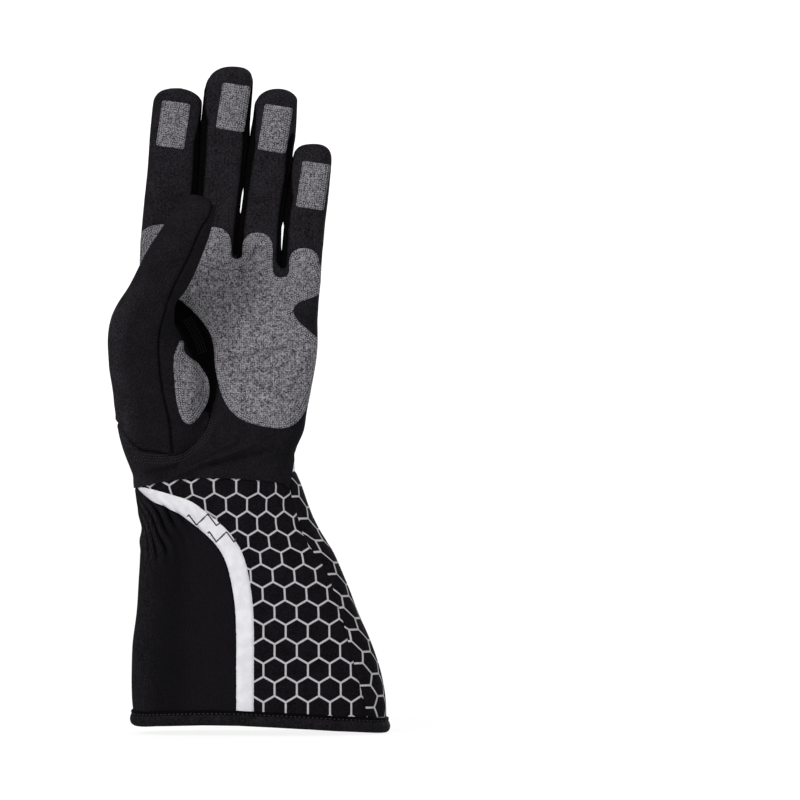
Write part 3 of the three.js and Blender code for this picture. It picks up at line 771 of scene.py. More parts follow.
def make_object(name, cloth, material, wanted):
    """A Blender object from a cloth, with the wanted values as attributes for its material."""
    mesh = bpy.data.meshes.new(name)
    mesh.vertices.add(len(cloth.points))
    mesh.vertices.foreach_set("co", (cloth.points * 0.001).ravel())
    mesh.loops.add(cloth.faces.size)
    mesh.loops.foreach_set("vertex_index", cloth.faces.ravel())
    mesh.polygons.add(len(cloth.faces))
    mesh.polygons.foreach_set("loop_start", np.arange(0, cloth.faces.size, 3))
    mesh.update(calc_edges=True)
    mesh.validate()
    mesh.shade_smooth()
    mesh.set_sharp_from_angle(angle=math.radians(SHARP_ANGLE))
    for key in wanted:
        values = cloth.values[key].astype(np.float32)
        mesh.attributes.new(key, "FLOAT", "POINT").data.foreach_set("value", values)
    mesh.materials.append(material)
    return add_object(name, mesh)


# Outlines seen from the front

def seen(x, y, z):
    """Where the camera sees a point, as millimetres in the plane y = 0."""
    nearness = CAMERA_PLACE[1] / (CAMERA_PLACE[1] - y / 1000)
    middle_x, middle_z = 1000 * CAMERA_PLACE[0], 1000 * CAMERA_PLACE[2]
    return middle_x + (x - middle_x) * nearness, middle_z + (z - middle_z) * nearness


def closed(line, steps):
    """A smooth closed outline through points."""
    line = np.array(line, float)
    around = np.concatenate([line[-3:], line, line[:3]])
    length = path_lengths(around)
    places = np.linspace(length[3], length[3 + len(line)], steps, endpoint=False)
    return np.stack([smooth(length, around[:, k], places) for k in range(2)], axis=1)


def lobe(x, z, half_width, rise):
    angle = np.linspace(math.pi, 0, LOBE_STEPS + 1)
    across = rounded(np.cos(angle), LOBE_POWER)
    height = np.maximum(np.sin(angle), 0) ** (2 / LOBE_POWER)
    return np.stack([x + half_width * across, z - rise * (1 - height)], axis=1)


def tip_outline(x, z, width, height, lean):
    turn = math.radians(lean)
    result = []
    for side, end, start in ((1, 1, 90), (1, -1, 0), (-1, -1, -90), (-1, 1, -180)):
        for angle in np.radians(np.linspace(start, start - 90, TIP_CORNER_STEPS)):
            across = side * (width / 2 - TIP_CORNER) + TIP_CORNER * math.cos(angle)
            up = end * (height / 2 - TIP_CORNER) + TIP_CORNER * math.sin(angle)
            result.append((
                x + across * math.cos(turn) + up * math.sin(turn),
                z - across * math.sin(turn) + up * math.cos(turn),
            ))
    return np.array(result)


def band_edge(rows, side):
    """Left (side -1) or right (side 1) edge of a band."""
    along = unit(np.gradient(rows[:, :2], axis=0))
    across = np.stack([-along[:, 1], along[:, 0]], axis=1)
    return rows[:, :2] + side * across * rows[:, 2:] / 2


def from_segment(x, z, start, end):
    """Distance from points to a straight line between two others."""
    (x0, z0), (x1, z1) = start, end
    t = ((x - x0) * (x1 - x0) + (z - z0) * (z1 - z0)) / ((x1 - x0) ** 2 + (z1 - z0) ** 2)
    t = np.clip(t, 0, 1)
    return np.hypot(x - x0 - t * (x1 - x0), z - z0 - t * (z1 - z0))


def inside(x, z, outline):
    """Distance to a closed outline, positive inside it."""
    x, z = x[:, None], z[:, None]
    (x0, z0), (x1, z1) = outline.T, np.roll(outline, -1, axis=0).T
    dx, dz = x1 - x0, z1 - z0
    size = np.hypot(dx, dz)
    t = np.clip(((x - x0) * dx + (z - z0) * dz) / size**2, 0, 1)
    distance = np.hypot(x - x0 - t * dx, z - z0 - t * dz).min(axis=1)
    crossing = (z0 > z) != (z1 > z)
    height = np.where(dz == 0, 1, dz)
    odd = (crossing & (x < (z - z0) / height * dx + x0)).sum(axis=1) % 2
    return distance * np.where(odd == 1, 1, -1)


# Hand

def tube(rings):
    """A closed skin through rings of equal length, each anticlockwise seen from the last one."""
    rows, sides = rings.shape[:2]
    index = np.arange(rows * sides).reshape(rows, sides)
    low, high = index[:-1], index[1:]
    low_next, high_next = np.roll(low, -1, axis=1), np.roll(high, -1, axis=1)
    start, end = np.full(sides, rows * sides), np.full(sides, rows * sides + 1)
    first, last = index[0], index[-1]
    parts = [
        (low, low_next, high_next),
        (low, high_next, high),
        (start, np.roll(first, -1), first),
        (end, last, np.roll(last, -1)),
    ]
    faces = triangles(parts)
    middles = [rings[0].mean(axis=0), rings[-1].mean(axis=0)]
    return np.concatenate([rings.reshape(-1, 3), middles]), faces


def body_rings(angle, z):
    """Sections of the cuff and palm at some heights."""
    left, right, front, back, power, slope = (column[:, None] for column in columns(BODY, z))
    across = rounded(np.cos(angle), power) * (right - left) / 2
    deep = rounded(np.sin(angle), power) * np.where(np.sin(angle) < 0, front, back)
    x = (left + right) / 2 + across
    z = z[:, None]
    dent = HOLLOW_DEPTH * bump(x - HOLLOW["x"], HOLLOW["half_width"])
    dent = dent * bump(z - HOLLOW["z"], HOLLOW["half_height"])
    y = curl(z) + deep + np.where(deep < 0, dent, 0)
    return np.stack([x, y, z + slope * across], axis=-1)


def opening(z, depth=0):
    """How far the fingers are spread at a height. The thumb lies in front and isn't."""
    return ease(z, SPREAD_START, SPREAD_START + SPREAD_SPAN) * (depth > THUMB_FRONT)


def finger_rings(name):
    finger = FINGERS[name]
    base = finger["tip"] - TIP_ROUND
    straight = np.arange(finger["rows"][0, 0], base, HAND_STEP)
    t = TIP_FLAT * np.sin(np.linspace(0, math.pi / 2, TIP_STEPS))
    z = np.concatenate([straight, base + t * TIP_ROUND])
    left, right = [
        np.concatenate([np.ones(len(straight)), (1 - t**power) ** (1 / power)])[:, None]
        for power in finger["shoulders"]
    ]
    middle, half_width, half_depth = columns(finger["rows"], z)
    half_width, half_depth = half_width + SHRINK, half_depth + SHRINK
    angle = np.linspace(0, 2 * math.pi, FINGER_SIDES, endpoint=False)
    cosine = rounded(np.cos(angle), FINGER_POWER)
    pressed = np.zeros((len(z), len(angle)))
    for meeting in MEETINGS:
        start, end = meeting["top"] + MEETING_FADE[0], meeting["top"] + MEETING_FADE[1]
        touching = MEETING_BULGE * (1 - ease(z, start, end))
        if name == meeting["left"]:
            pressed += touching[:, None] * (cosine > 0)
        if name == meeting["right"]:
            pressed += touching[:, None] * (cosine < 0)
    x = middle[:, None] + finger["spread"] * opening(z)[:, None]
    x = x + cosine * (half_width[:, None] + pressed) * np.where(cosine > 0, right, left)
    deep = rounded(np.sin(angle), FINGER_POWER) * half_depth[:, None]
    y = curl(z)[:, None] + deep * (left + right) / 2
    return np.stack([x, y, np.broadcast_to(z[:, None], x.shape)], axis=-1)


THUMB_PATH = refine(THUMB, THUMB_STEPS)
THUMB_ALONG = unit(np.gradient(THUMB_PATH[:, :3], axis=0))
THUMB_DEEP = unit(np.cross(THUMB_ALONG, [1, 0, 0]))
THUMB_ACROSS = np.cross(THUMB_DEEP, THUMB_ALONG)


def thumb_rings():
    angle = np.linspace(0, 2 * math.pi, THUMB_SIDES, endpoint=False)[None, :, None]
    width, depth = THUMB_PATH[:, 3, None, None], THUMB_PATH[:, 4, None, None]
    across = np.cos(angle) * width * THUMB_ACROSS[:, None]
    deep = np.sin(angle) * depth * THUMB_DEEP[:, None]
    return THUMB_PATH[:, None, :3] + across + deep


def from_thumb(points):
    """Distance from each point to the skin of the thumb, negative inside it."""
    tree = nearest(THUMB_PATH[:, :3])
    rows = np.array([tree.find(p)[1] for p in points])
    away = points - THUMB_PATH[rows, :3]
    across = (away * THUMB_ACROSS[rows]).sum(axis=1)
    deep = (away * THUMB_DEEP[rows]).sum(axis=1)
    share = np.hypot(across / THUMB_PATH[rows, 3], deep / THUMB_PATH[rows, 4])
    return np.hypot(across, deep) * (1 - 1 / np.maximum(share, 1e-6))


def union(tubes):
    """One smooth skin round several closed ones."""
    points, faces, count = [], [], 0
    for some_points, some_faces in tubes:
        points.append(some_points)
        faces.append(some_faces + count)
        count += len(some_points)
    mesh = bpy.data.meshes.new("union")
    mesh.from_pydata(np.concatenate(points).tolist(), [], np.concatenate(faces).tolist())
    made = add_object("union", mesh)
    remesh = made.modifiers.new("remesh", "REMESH")
    remesh.mode = "VOXEL"
    remesh.voxel_size = VOXEL
    smoothing = made.modifiers.new("smooth", "SMOOTH")
    smoothing.iterations = SMOOTHING
    result = made.evaluated_get(bpy.context.evaluated_depsgraph_get()).to_mesh()
    result.calc_loop_triangles()
    points = np.zeros(len(result.vertices) * 3)
    result.vertices.foreach_get("co", points)
    faces = np.zeros(len(result.loop_triangles) * 3, int)
    result.loop_triangles.foreach_get("vertices", faces)
    bpy.data.objects.remove(made)
    bpy.data.meshes.remove(mesh)
    return Cloth(points.reshape(-1, 3), faces.reshape(-1, 3))


def close_fingers(points):
    """The points with the fingers moved to where they touch, and whether each is pressed there."""
    x, z = points[:, 0].copy(), points[:, 2]
    open_share = opening(z, points[:, 1] - curl(z))
    shift = np.full(len(x), float(FINGERS["index"]["spread"]))
    planes = []
    for meeting in MEETINGS:
        left, right = FINGERS[meeting["left"]], FINGERS[meeting["right"]]
        left_middle, left_width, _ = columns(left["rows"], z)
        right_middle, right_width, _ = columns(right["rows"], z)
        left_edge, right_edge = left_middle + left_width, right_middle - right_width
        plane = (left_edge + right_edge) / 2
        between = plane + (left["spread"] + right["spread"]) / 2 * open_share
        room = (right_edge - left_edge + (right["spread"] - left["spread"]) * open_share) / 2
        room = np.maximum(room, MEETING_ROOM)
        shift += (right["spread"] - left["spread"]) * ease(x, between - room, between + room)
        planes.append((meeting, plane, x < between, right_middle - left_middle))
    points[:, 0] -= shift * open_share
    pressed = np.zeros(len(x), bool)
    for meeting, plane, on_left, reach in planes:
        plane = plane + (plane / 1000 - CAMERA_PLACE[0]) / -CAMERA_PLACE[1] * points[:, 1]
        half = np.full(len(x), MEETING_GAP / 2)
        if meeting["slit"]:
            half += np.interp(z, *np.array(meeting["slit"]).T) / 2
        near = (open_share > MEETING_SHARE) & (np.abs(points[:, 0] - plane) < reach / 2)
        left_side, right_side = near & on_left, near & ~on_left
        x = points[:, 0].copy()
        points[left_side, 0] = np.minimum(x[left_side], (plane - half)[left_side])
        points[right_side, 0] = np.maximum(x[right_side], (plane + half)[right_side])
        pressed |= points[:, 0] != x
    return points, pressed


def wrist_height(x, y):
    back = ease(y, *WRIST_TURN)
    return along_x(WRIST_SEAM_FRONT, x) * (1 - back) + along_x(WRIST_SEAM_BACK, x) * back


angle = np.linspace(0, 2 * math.pi, HAND_SIDES, endpoint=False)
hand = union([
    tube(body_rings(angle, np.arange(*HAND_SPAN, HAND_STEP))),
    tube(thumb_rings()),
    *[tube(finger_rings(name)) for name in FINGERS],
])
hand.points, pressed = close_fingers(hand.points)
x, y, z = hand.points.T
seen_x, seen_z = seen(x, y, z)
depth = y - curl(z)
hand.values = {
    "wrist": z - wrist_height(x, y),
    "depth": depth,
    "thumb_distance": from_thumb(hand.points),
    "pressed": pressed.astype(float),
    "thumb_seam": along_z(THUMB_SEAM, seen_z) - seen_x,
}
hand.values["thumb"] = np.minimum(
    THUMB_SEAM_ALLOWANCE - hand.values["thumb_distance"], z - along_x(THUMB_BASE_SEAM, x)
)
for (name, crotch), meeting in zip(CROTCHES.items(), MEETINGS):
    left, right = FINGERS[meeting["left"]], FINGERS[meeting["right"]]
    left_middle, _, left_depth = columns(left["rows"], z)
    right_middle, _, right_depth = columns(right["rows"], z)
    on_left = x < (left_middle + right_middle) / 2
    tip = np.where(on_left, left["tip"], right["tip"])
    reach = np.where(on_left, GUSSET_SHARES["left"] * left_depth, GUSSET_SHARES["right"] * right_depth)
    taper = np.clip((tip - GUSSET_END - z) / GUSSET_TAPER, 0, 1) ** GUSSET_ROUND
    hand.values[name] = np.minimum.reduce([
        reach * taper - np.abs(depth),
        x - left_middle,
        right_middle - x,
        z - crotch + GUSSET_BELOW_CROTCH,
    ])
lobes = np.concatenate([lobe(*row) for row in PALM_PATCH_LOBES])
heel = refine(np.array([lobes[-1], *PALM_PATCH_HEEL, lobes[0]]), OUTLINE_STEPS)[1:-1]
outlines = {
    "palm": np.concatenate([lobes, heel]),
    "thumb_base": closed(THUMB_BASE_PATCH, OUTLINE_STEPS),
    **{name + "_tip": tip_outline(*row) for name, row in TIP_PATCHES.items()},
}
for name in ("wrist", "thumb", "thumb_seam", *CROTCHES, "depth"):
    hand = hand.cut(name)
hand = hand.keep(hand.side("wrist"))
hand_label = panel_numbers(HAND_PANELS, {
    "palm_panel": ~hand.side("depth"),
    "back_panel": hand.side("depth"),
    "thumb_outer_panel": hand.side("thumb") & hand.side("thumb_seam"),
    "thumb_inner_panel": hand.side("thumb") & ~hand.side("thumb_seam"),
    **{name: hand.side(name) for name in CROTCHES},
})
hand.values["seam"] = distance_to_seams(hand, hand_label)

x, y, z = hand.points.T
normal = hand.normals()
swell = wrinkles(hand.points, *HAND_WAVES) * (1 - hand.values["pressed"])
swell += WRIST_LIFT * bump(hand.values["wrist"], WRIST_LIFT_WIDTH)
# Painted shade in the creases of the folds, for the grip patches
crease = np.zeros(len(x))
for start, end, height, width in FOLDS:
    fold = bump(from_segment(x, z, start, end), width) * (y < 0)
    swell += height * fold
    crease = np.maximum(crease, fold * (height < 0))
hand.values["crease"] = crease
seen_x, seen_z = seen(x, y, z)
from_valley = np.minimum.reduce([
    from_segment(seen_x, seen_z, start, end) for start, end in zip(VALLEY[:-1], VALLEY[1:])
])
valley = bump(from_valley, VALLEY_WIDTH) * (y < 0)
hand.points += normal * (swell - VALLEY_DEPTH * valley)[:, None]
hand.values["seen_x"], hand.values["seen_z"] = seen(*hand.points.T)
# Painted shade in the deep fold between the thumb's ball and the palm, and along the edges of the panels
shade_width = np.interp(seen_z, *np.array(VALLEY_SHADE).T)
dark = 1 - ease(from_valley / shade_width, *VALLEY_SHADE_FADE)
dark = dark * ease(y, *VALLEY_SHADE_DEPTH) * (y < 0)
on_thumb = hand.values["thumb"] > 0
# Painted sheen, more on the fingers than on the thumb, and painted rim light on the glove's thumb side
hand.values["stretch"] = np.maximum(
    ease(z, *PAINTED_SHEEN_HEIGHT) * np.where(on_thumb, THUMB_PAINTED_SHEEN, FINGER_PAINTED_SHEEN),
    side_rim_light(normal, z),
)
edge_width = EDGE_SHADE + FINGER_EDGE_SHADE * ease(z, *FINGER_EDGE_HEIGHT) * ~on_thumb
edge_shade = 1 - ease(hand.values["seam"] / edge_width, *EDGE_SHADE_FADE)
hand.values["shade"] = np.maximum(dark, edge_shade)
bare = Cloth(hand.points, hand.faces, hand.values)
keep_normals(bare)
groove = SEAM_DEPTH * bump(hand.values["seam"], SEAM_WIDTH)
outer_side = on_thumb & (hand.values["thumb_seam"] > 0)
ridge = THUMB_RIDGE * bump(hand.values["seam"] - THUMB_RIDGE_PLACE, THUMB_RIDGE_WIDTH) * outer_side
hand.points = hand.points + normal * (ridge - groove)[:, None]
keep_normals(hand)


# Patches

def patch(name):
    """A piece of cloth lying on the hand inside an outline, with its edge sewn down."""
    outline = outlines[name]
    numbers = [list(HAND_PANELS).index(panel) for panel in PATCHES[name]]
    (left, low), (right, high) = outline.min(axis=0) - PATCH_MARGIN, outline.max(axis=0) + PATCH_MARGIN
    x, z = bare.values["seen_x"], bare.values["seen_z"]
    near = (x > left) & (x < right) & (z > low) & (z < high) & (bare.values["ny"] < PATCH_TURN)
    near &= bare.values["depth"] < PATCH_EDGE + PATCH_MARGIN
    cloth = bare.keep(near[bare.faces].all(axis=1) & np.isin(hand_label, numbers)).halved()
    places = cloth.values["seen_x"], cloth.values["seen_z"]
    cloth.values["edge"] = np.minimum(inside(*places, outline), PATCH_EDGE - cloth.values["depth"])
    for level in PATCH_LEVELS:
        cloth = cloth.cut("edge", level)
    cloth = cloth.keep(cloth.side("edge"))
    edge = cloth.values["edge"]
    height = PATCH_THICKNESS * np.sqrt(1 - (1 - np.clip(edge / PATCH_ROUND, 0, 1)) ** 2)
    for row in PATCH_STITCH_ROWS:
        height -= PATCH_STITCH_DEPTH * bump(edge - row, PATCH_STITCH_WIDTH)
    height *= ease(-cloth.values["ny"], *PATCH_THINNER)
    cloth.values["row"] = np.minimum.reduce([np.abs(edge - row) for row in PATCH_STITCH_ROWS])
    skin = shell(cloth, height, PATCH_ROOT)
    return skin, Cloth(skin.points, cloth.faces)


def inner_rows(outline, distances):
    """Lines inside an outline at some distances from it, without the parts that would cross."""
    outline = evenly(np.concatenate([outline, outline[:1]]), PATCH_ROW_STEP)[:-1]
    along = unit(np.roll(outline, -1, axis=0) - np.roll(outline, 1, axis=0))
    inwards = np.stack([along[:, 1], -along[:, 0]], axis=1)
    rows = []
    for distance in distances:
        points = outline + distance * inwards
        crossed = inside(*points.T, outline) < distance - PATCH_ROW_SNAP
        runs = np.split(np.arange(len(points)), np.flatnonzero(crossed))
        runs = [run[~crossed[run]] for run in runs]
        rows += [points[run] for run in runs if len(run) > PATCH_ROW_LEAST]
    return rows


# Cuff

def even_rings(z, sides):
    """Sections with points evenly spaced round them from the middle of the back, the places of
    the points round them, and the places of their left ends."""
    angle = np.linspace(-1.5 * math.pi, 0.5 * math.pi, RING_FINENESS * sides + 1)
    rings, lengths, lefts = [], [], []
    for ring in body_rings(angle, z):
        length = path_lengths(ring)
        places = np.linspace(0, length[-1], sides, endpoint=False)
        rings.append(points_at(ring, places))
        lengths.append(places)
        lefts.append(length[len(angle) // 4])
    return np.array(rings), np.array(lengths), np.array(lefts)


rings, lengths, lefts = even_rings(np.arange(CUFF_BOTTOM, CUFF_TOP, CUFF_STEP), CUFF_SIDES)
half = CUFF_SIDES // 2
total = lengths[:, 1] * CUFF_SIDES
from_front = lengths - total[:, None] / 2
from_back = np.where(from_front < 0, lengths, lengths - total[:, None])
faces = tube(rings)[1]
cuff = Cloth(rings.reshape(-1, 3), faces[(faces < rings.shape[0] * rings.shape[1]).all(axis=1)])
x, y, z = cuff.points.T
seen_x, seen_z = seen(x, y, z)

# The print on the front leans and narrows with the cloth, so its columns have their own places
ring_seen_x, ring_seen_z = seen_x.reshape(rings.shape[:2]), seen_z.reshape(rings.shape[:2])
heights = ring_seen_z[:, half]
starts = np.interp(heights, *PRINT_MIDDLE.T)
start = [
    np.interp(start, row_x[half // 2:-half // 2], row_length[half // 2:-half // 2])
    for start, row_x, row_length in zip(starts, ring_seen_x, from_front)
]
from_start = from_front - np.array(start)[:, None]
left_width, right_width = (np.interp(heights, PRINT_WIDTH[:, 0], PRINT_WIDTH[:, k]) for k in (1, 2))
columns_front = from_start / np.where(from_start < 0, left_width[:, None], right_width[:, None])
droop = PRINT_DROOP * np.maximum(0, PRINT_DROOP_X - seen_x) * ease(seen_z, *PRINT_DROOP_HEIGHT)
row_numbers = np.arange(len(PRINT_ROWS)) - PRINT_ROWS_BELOW
rows_front = np.interp(seen_z + droop, PRINT_ROWS, HEX_ROW * row_numbers)

front = y < 0
palm_rows, back_rows = refine(PALM_BAND, OUTLINE_STEPS), refine(BACK_BAND, LINE_STEPS)
palm_band = np.concatenate([band_edge(palm_rows, -1), band_edge(palm_rows, 1)[::-1]])
back_band = np.concatenate([band_edge(back_rows, -1), band_edge(back_rows, 1)[::-1]])
cuff.values = {
    "wrist": z - wrist_height(x, y),
    "thumb": np.where(front, along_z(band_edge(palm_rows, -1), z), along_z(THUMB_SIDE_SEAM, z)) - x,
    "side": np.where(front, x - along_z(SIDE_SEAM, z), FAR),
    "back_side": x - along_z(BACK_BAND[:, :2], z),
    "palm_band": np.minimum(inside(x, z, palm_band), -y),
    "back_band": np.minimum(inside(x, z, back_band), y + BAND_WRAP),
    "around": (lengths - lefts[:, None]).ravel(),
    "front_u": columns_front.ravel(),
    "front_v": rows_front,
    "back_u": z / HEX_WIDTH,
    "back_v": from_back.ravel() / HEX_WIDTH,
    "height": z,
}
cuff = cuff.cut("wrist", CUFF_TUCK)
cuff = cuff.keep(cuff.values["wrist"][cuff.faces].mean(axis=1) < CUFF_TUCK)
for name in ("wrist", "thumb", "side", "back_side", "palm_band", "back_band"):
    cuff = cuff.cut(name)
cuff_label = panel_numbers(CUFF_PANELS, {
    "cuff_back_outer_panel": cuff.side("back_side"),
    "cuff_back_inner_panel": ~cuff.side("back_side"),
    "back_band": cuff.side("back_band"),
    "cuff_palm_panel": ~cuff.side("side"),
    "cuff_thumb_panel": cuff.side("thumb"),
    "palm_band": cuff.side("palm_band"),
})
tucked_in = len(CUFF_PANELS) * cuff.side("wrist")
cuff.values["seam"] = distance_to_seams(cuff, cuff_label + tucked_in)

x, y, z = cuff.points.T
around = cuff.values["around"]
thumb_side = bump(x - GATHER_X, GATHER_HALF_WIDTH)
amplitude = np.where(y < 0, GATHER_FRONT, GATHER_BACK) * (1 - thumb_side) + GATHER_SIDE * thumb_side
amplitude = amplitude * ease(z, GATHER_LOW, GATHER_HEIGHT) * (1 - ease(z, GATHER_HEIGHT, GATHER_HIGH))
amplitude = amplitude * (GATHER_MEAN + wrinkles(cuff.points, *GATHER_WAVES))
bend = wrinkles(cuff.points, *GATHER_BENDS)
phase = (around + bend + GATHER_SLANT * (z - GATHER_HEIGHT)) / GATHER_PITCH
gather = amplitude * (GATHER_LEVEL - np.abs(np.sin(math.pi * phase)))
normal = cuff.normals()
# Painted highlight on the ridges of the gathers on the thumb's side, and painted rim light on the
# glove's thumb side
cuff.values["stretch"] = np.maximum(
    GATHER_PAINTED_HIGHLIGHT * ease(-gather, 0, GATHER_HIGHLIGHT_DEPTH) * thumb_side, side_rim_light(normal, z)
)
# Painted shade in the grooves of the gathers on the thumb's side, and along the seams
cuff.values["shade"] = np.maximum(
    ease(gather, *GATHER_SHADE) * ease(thumb_side, *GATHER_SHADE_SIDE),
    1 - ease(cuff.values["seam"], *SEAM_SHADE),
)
band = np.maximum(cuff.values["palm_band"], cuff.values["back_band"])
swell = BAND_LIFT * ease(band, 0, BAND_EDGE) + wrinkles(cuff.points, *CUFF_WAVES)
swell -= PINCH * bump(z - GATHER_HEIGHT, PINCH_HEIGHT) * thumb_side
groove = CUFF_SEAM_DEPTH * bump(cuff.values["seam"], SEAM_WIDTH)
cuff.points = cuff.points + normal * (swell - gather - groove)[:, None]
keep_normals(cuff)


# Stitches

class Sheet:
    """Finds points of a cloth by where the camera sees them."""

    def __init__(self, cloth):
        self.cloth = cloth
        self.flat = np.stack([*seen(*cloth.points.T), -cloth.points[:, 1]], axis=1)
        self.tree = BVHTree.FromPolygons(self.flat.tolist(), cloth.faces.tolist())
        self.normals = cloth.normals()

    def find(self, place):
        """The point and normal at a place, or None off the cloth."""
        index = self.tree.ray_cast(Vector((*place, RAY_START)), Vector((0, 0, -1)))[2]
        if index is None:
            return None
        corners = self.cloth.faces[index]
        a, b, c = self.flat[corners, :2]
        share = np.linalg.solve(np.stack([b - a, c - a], axis=1), np.array(place) - a)
        weights = np.array([1 - share.sum(), *share])
        return weights @ self.cloth.points[corners], unit(weights @ self.normals[corners])


def stitches(sheet, paths, pitch, share, radius):
    """Threads along lines on a sheet, each over a share of their pitch."""
    found = []
    for path in paths:
        points = evenly(path, pitch)
        for start, after in zip(points[:-1], points[1:]):
            end = start + (after - start) * share
            ends = sheet.find(start), sheet.find(end)
            if ends[0] and ends[1]:
                found.append((ends[0][0], ends[1][0], ends[0][1]))
    return threads(*np.array(found).transpose(1, 0, 2), radius)


def threads(start, end, normal, radius):
    """Short lengths of thread, each lying on the cloth and going into it at its ends."""
    side = unit(np.cross(normal, end - start))
    rows = []
    for t, size, lift in THREAD_SECTIONS:
        middle = start + (end - start) * t + normal * lift * radius
        turn = np.linspace(0, 2 * math.pi, THREAD_SIDES, endpoint=False)[:, None, None]
        rows.append(middle + size * radius * (np.cos(turn) * normal + np.sin(turn) * side))
    points = np.concatenate(rows).transpose(1, 0, 2)
    count = points.shape[1]
    faces = tube(np.zeros((len(THREAD_SECTIONS), THREAD_SIDES, 3)))[1]
    faces = faces[(faces < count).all(axis=1)]
    every = faces[None] + count * np.arange(len(points))[:, None, None]
    return Cloth(points.reshape(-1, 3), every.reshape(-1, 3))


# Hem binding

def binding():
    """The tape folded round the hem, with a row of stitches under its upper edge."""
    profile = np.concatenate([BINDING_PROFILE, (BINDING_PROFILE * [-1, 1] + [-BINDING_WALL, 0])[::-1]])
    rings = []
    for offset, height in profile:
        (ring,), (places,), _ = even_rings(np.array([height]), BINDING_SIDES)
        along = unit(np.roll(ring, -1, axis=0)[:, :2] - np.roll(ring, 1, axis=0)[:, :2])
        ring[:, 2] = height + HEM_TILT * ring[:, 0]
        pucker = BINDING_PUCKER * np.sin(2 * math.pi * places / BINDING_PUCKER_PITCH)
        pucker = pucker * (offset > BINDING_OUTSIDE)
        wave = wrinkles(ring, *HEM_WAVES)
        wave += np.interp(ring[:, 0], *HEM_ARCH.T) * np.clip(-ring[:, 1] / HEM_ARCH_DEPTH, 0, 1)
        outwards = np.stack([along[:, 1], -along[:, 0], np.zeros(len(along))], axis=1)
        ring += (offset + pucker)[:, None] * outwards
        ring[:, 2] += wave
        rings.append(ring)
    rings = np.array(rings)
    index = np.arange(rings.shape[0] * rings.shape[1]).reshape(rings.shape[:2])
    above, beside = np.roll(index, -1, axis=0), np.roll(index, -1, axis=1)
    corner = np.roll(above, -1, axis=1)
    faces = triangles([(index, corner, beside), (index, above, corner)])
    values = {
        "along": np.broadcast_to(places, rings.shape[:2]).ravel(),
        "height": np.repeat(profile[:, 1], BINDING_SIDES),
    }
    row = rings[BINDING_STITCH_ROW]
    ends = [ends[::BINDING_STITCH_STEP] for ends in (row, np.roll(row, -2, axis=0), outwards)]
    return Cloth(rings.reshape(-1, 3), faces, values), threads(*ends, BINDING_THREAD)


# Materials

class Look:
    """A material, with short ways to add nodes to it. Its bump is in millimetres."""

    def __init__(self, name, roughness, specular, bump=0.0):
        self.bump = bump
        self.material = bpy.data.materials.new(name)
        self.material.use_nodes = True
        self.tree = self.material.node_tree
        self.shader = self.tree.nodes["Principled BSDF"]
        self.shader.inputs["Roughness"].default_value = roughness
        self.shader.inputs["Specular IOR Level"].default_value = specular
        self.place = self.node("ShaderNodeTexCoord", "Object")

    def node(self, kind, output, inputs=(), **settings):
        made = self.tree.nodes.new(kind)
        for key, value in settings.items():
            setattr(made, key, value)
        for key, value in dict(inputs).items():
            if isinstance(value, bpy.types.NodeSocket):
                self.tree.links.new(value, made.inputs[key])
            else:
                made.inputs[key].default_value = value
        return made.outputs[output]

    def math(self, operation, a, b=0.0, c=0.0):
        return self.node("ShaderNodeMath", 0, {0: a, 1: b, 2: c}, operation=operation)

    def value(self, name):
        return self.node("ShaderNodeAttribute", "Fac", attribute_name=name)

    def noise(self, size, detail):
        """Noise between 0 and 1 with grains of a size in millimetres."""
        inputs = {"Vector": self.place, "Scale": 1000 / size, "Detail": detail}
        return self.node("ShaderNodeTexNoise", "Fac", inputs)

    def wave(self, pitch, axis):
        """0 to 1 and back along an axis, over a pitch in millimetres."""
        along = self.node("ShaderNodeSeparateXYZ", axis, {"Vector": self.place})
        return self.math("PINGPONG", self.math("MULTIPLY", along, 2000 / pitch), 1)

    def cells(self, size):
        """A random value for each small cell, with cells of a size in millimetres."""
        inputs = {"Vector": self.place, "Scale": 1000 / size}
        return self.node("ShaderNodeTexVoronoi", "Color", inputs)

    def step(self, value, start, end, low=0.0, high=1.0):
        inputs = {"Value": value, "From Min": start, "From Max": end, "To Min": low, "To Max": high}
        return self.node("ShaderNodeMapRange", 0, inputs, interpolation_type="SMOOTHSTEP")

    def mix(self, share, a, b):
        inputs = {0: share, 6: a, 7: b}
        return self.node("ShaderNodeMix", 2, inputs, data_type="RGBA")

    def finish(self, color, height):
        """Sets the colour, and the bump over heights from 0 to 1."""
        self.tree.links.new(color, self.shader.inputs["Base Color"])
        inputs = {"Height": height, "Distance": self.bump / 1000, "Strength": 1.0}
        self.tree.links.new(self.node("ShaderNodeBump", 0, inputs), self.shader.inputs["Normal"])
        return self.material


def hexagon_lines(look):
    """1 on the lines of a hexagon pattern, from the values u and v in hexagon widths."""
    u, v = look.value("u"), look.value("v")
    edges = []
    for shift_u, shift_v in ((0.5, 0), (0, HEX_ROW)):
        across = look.math("PINGPONG", look.math("ADD", u, shift_u), 0.5)
        up = look.math("PINGPONG", look.math("ADD", v, shift_v), HEX_ROW)
        slanted = look.math("MULTIPLY_ADD", up, HEX_ROW, look.math("MULTIPLY", across, 0.5))
        edges.append(look.math("SUBTRACT", 0.5, look.math("MAXIMUM", across, slanted)))
    edge = look.math("MULTIPLY", look.math("MAXIMUM", *edges), HEX_WIDTH)
    return look.step(edge, HEX_LINE - HEX_LINE_EDGE, HEX_LINE + HEX_LINE_EDGE, 1, 0)


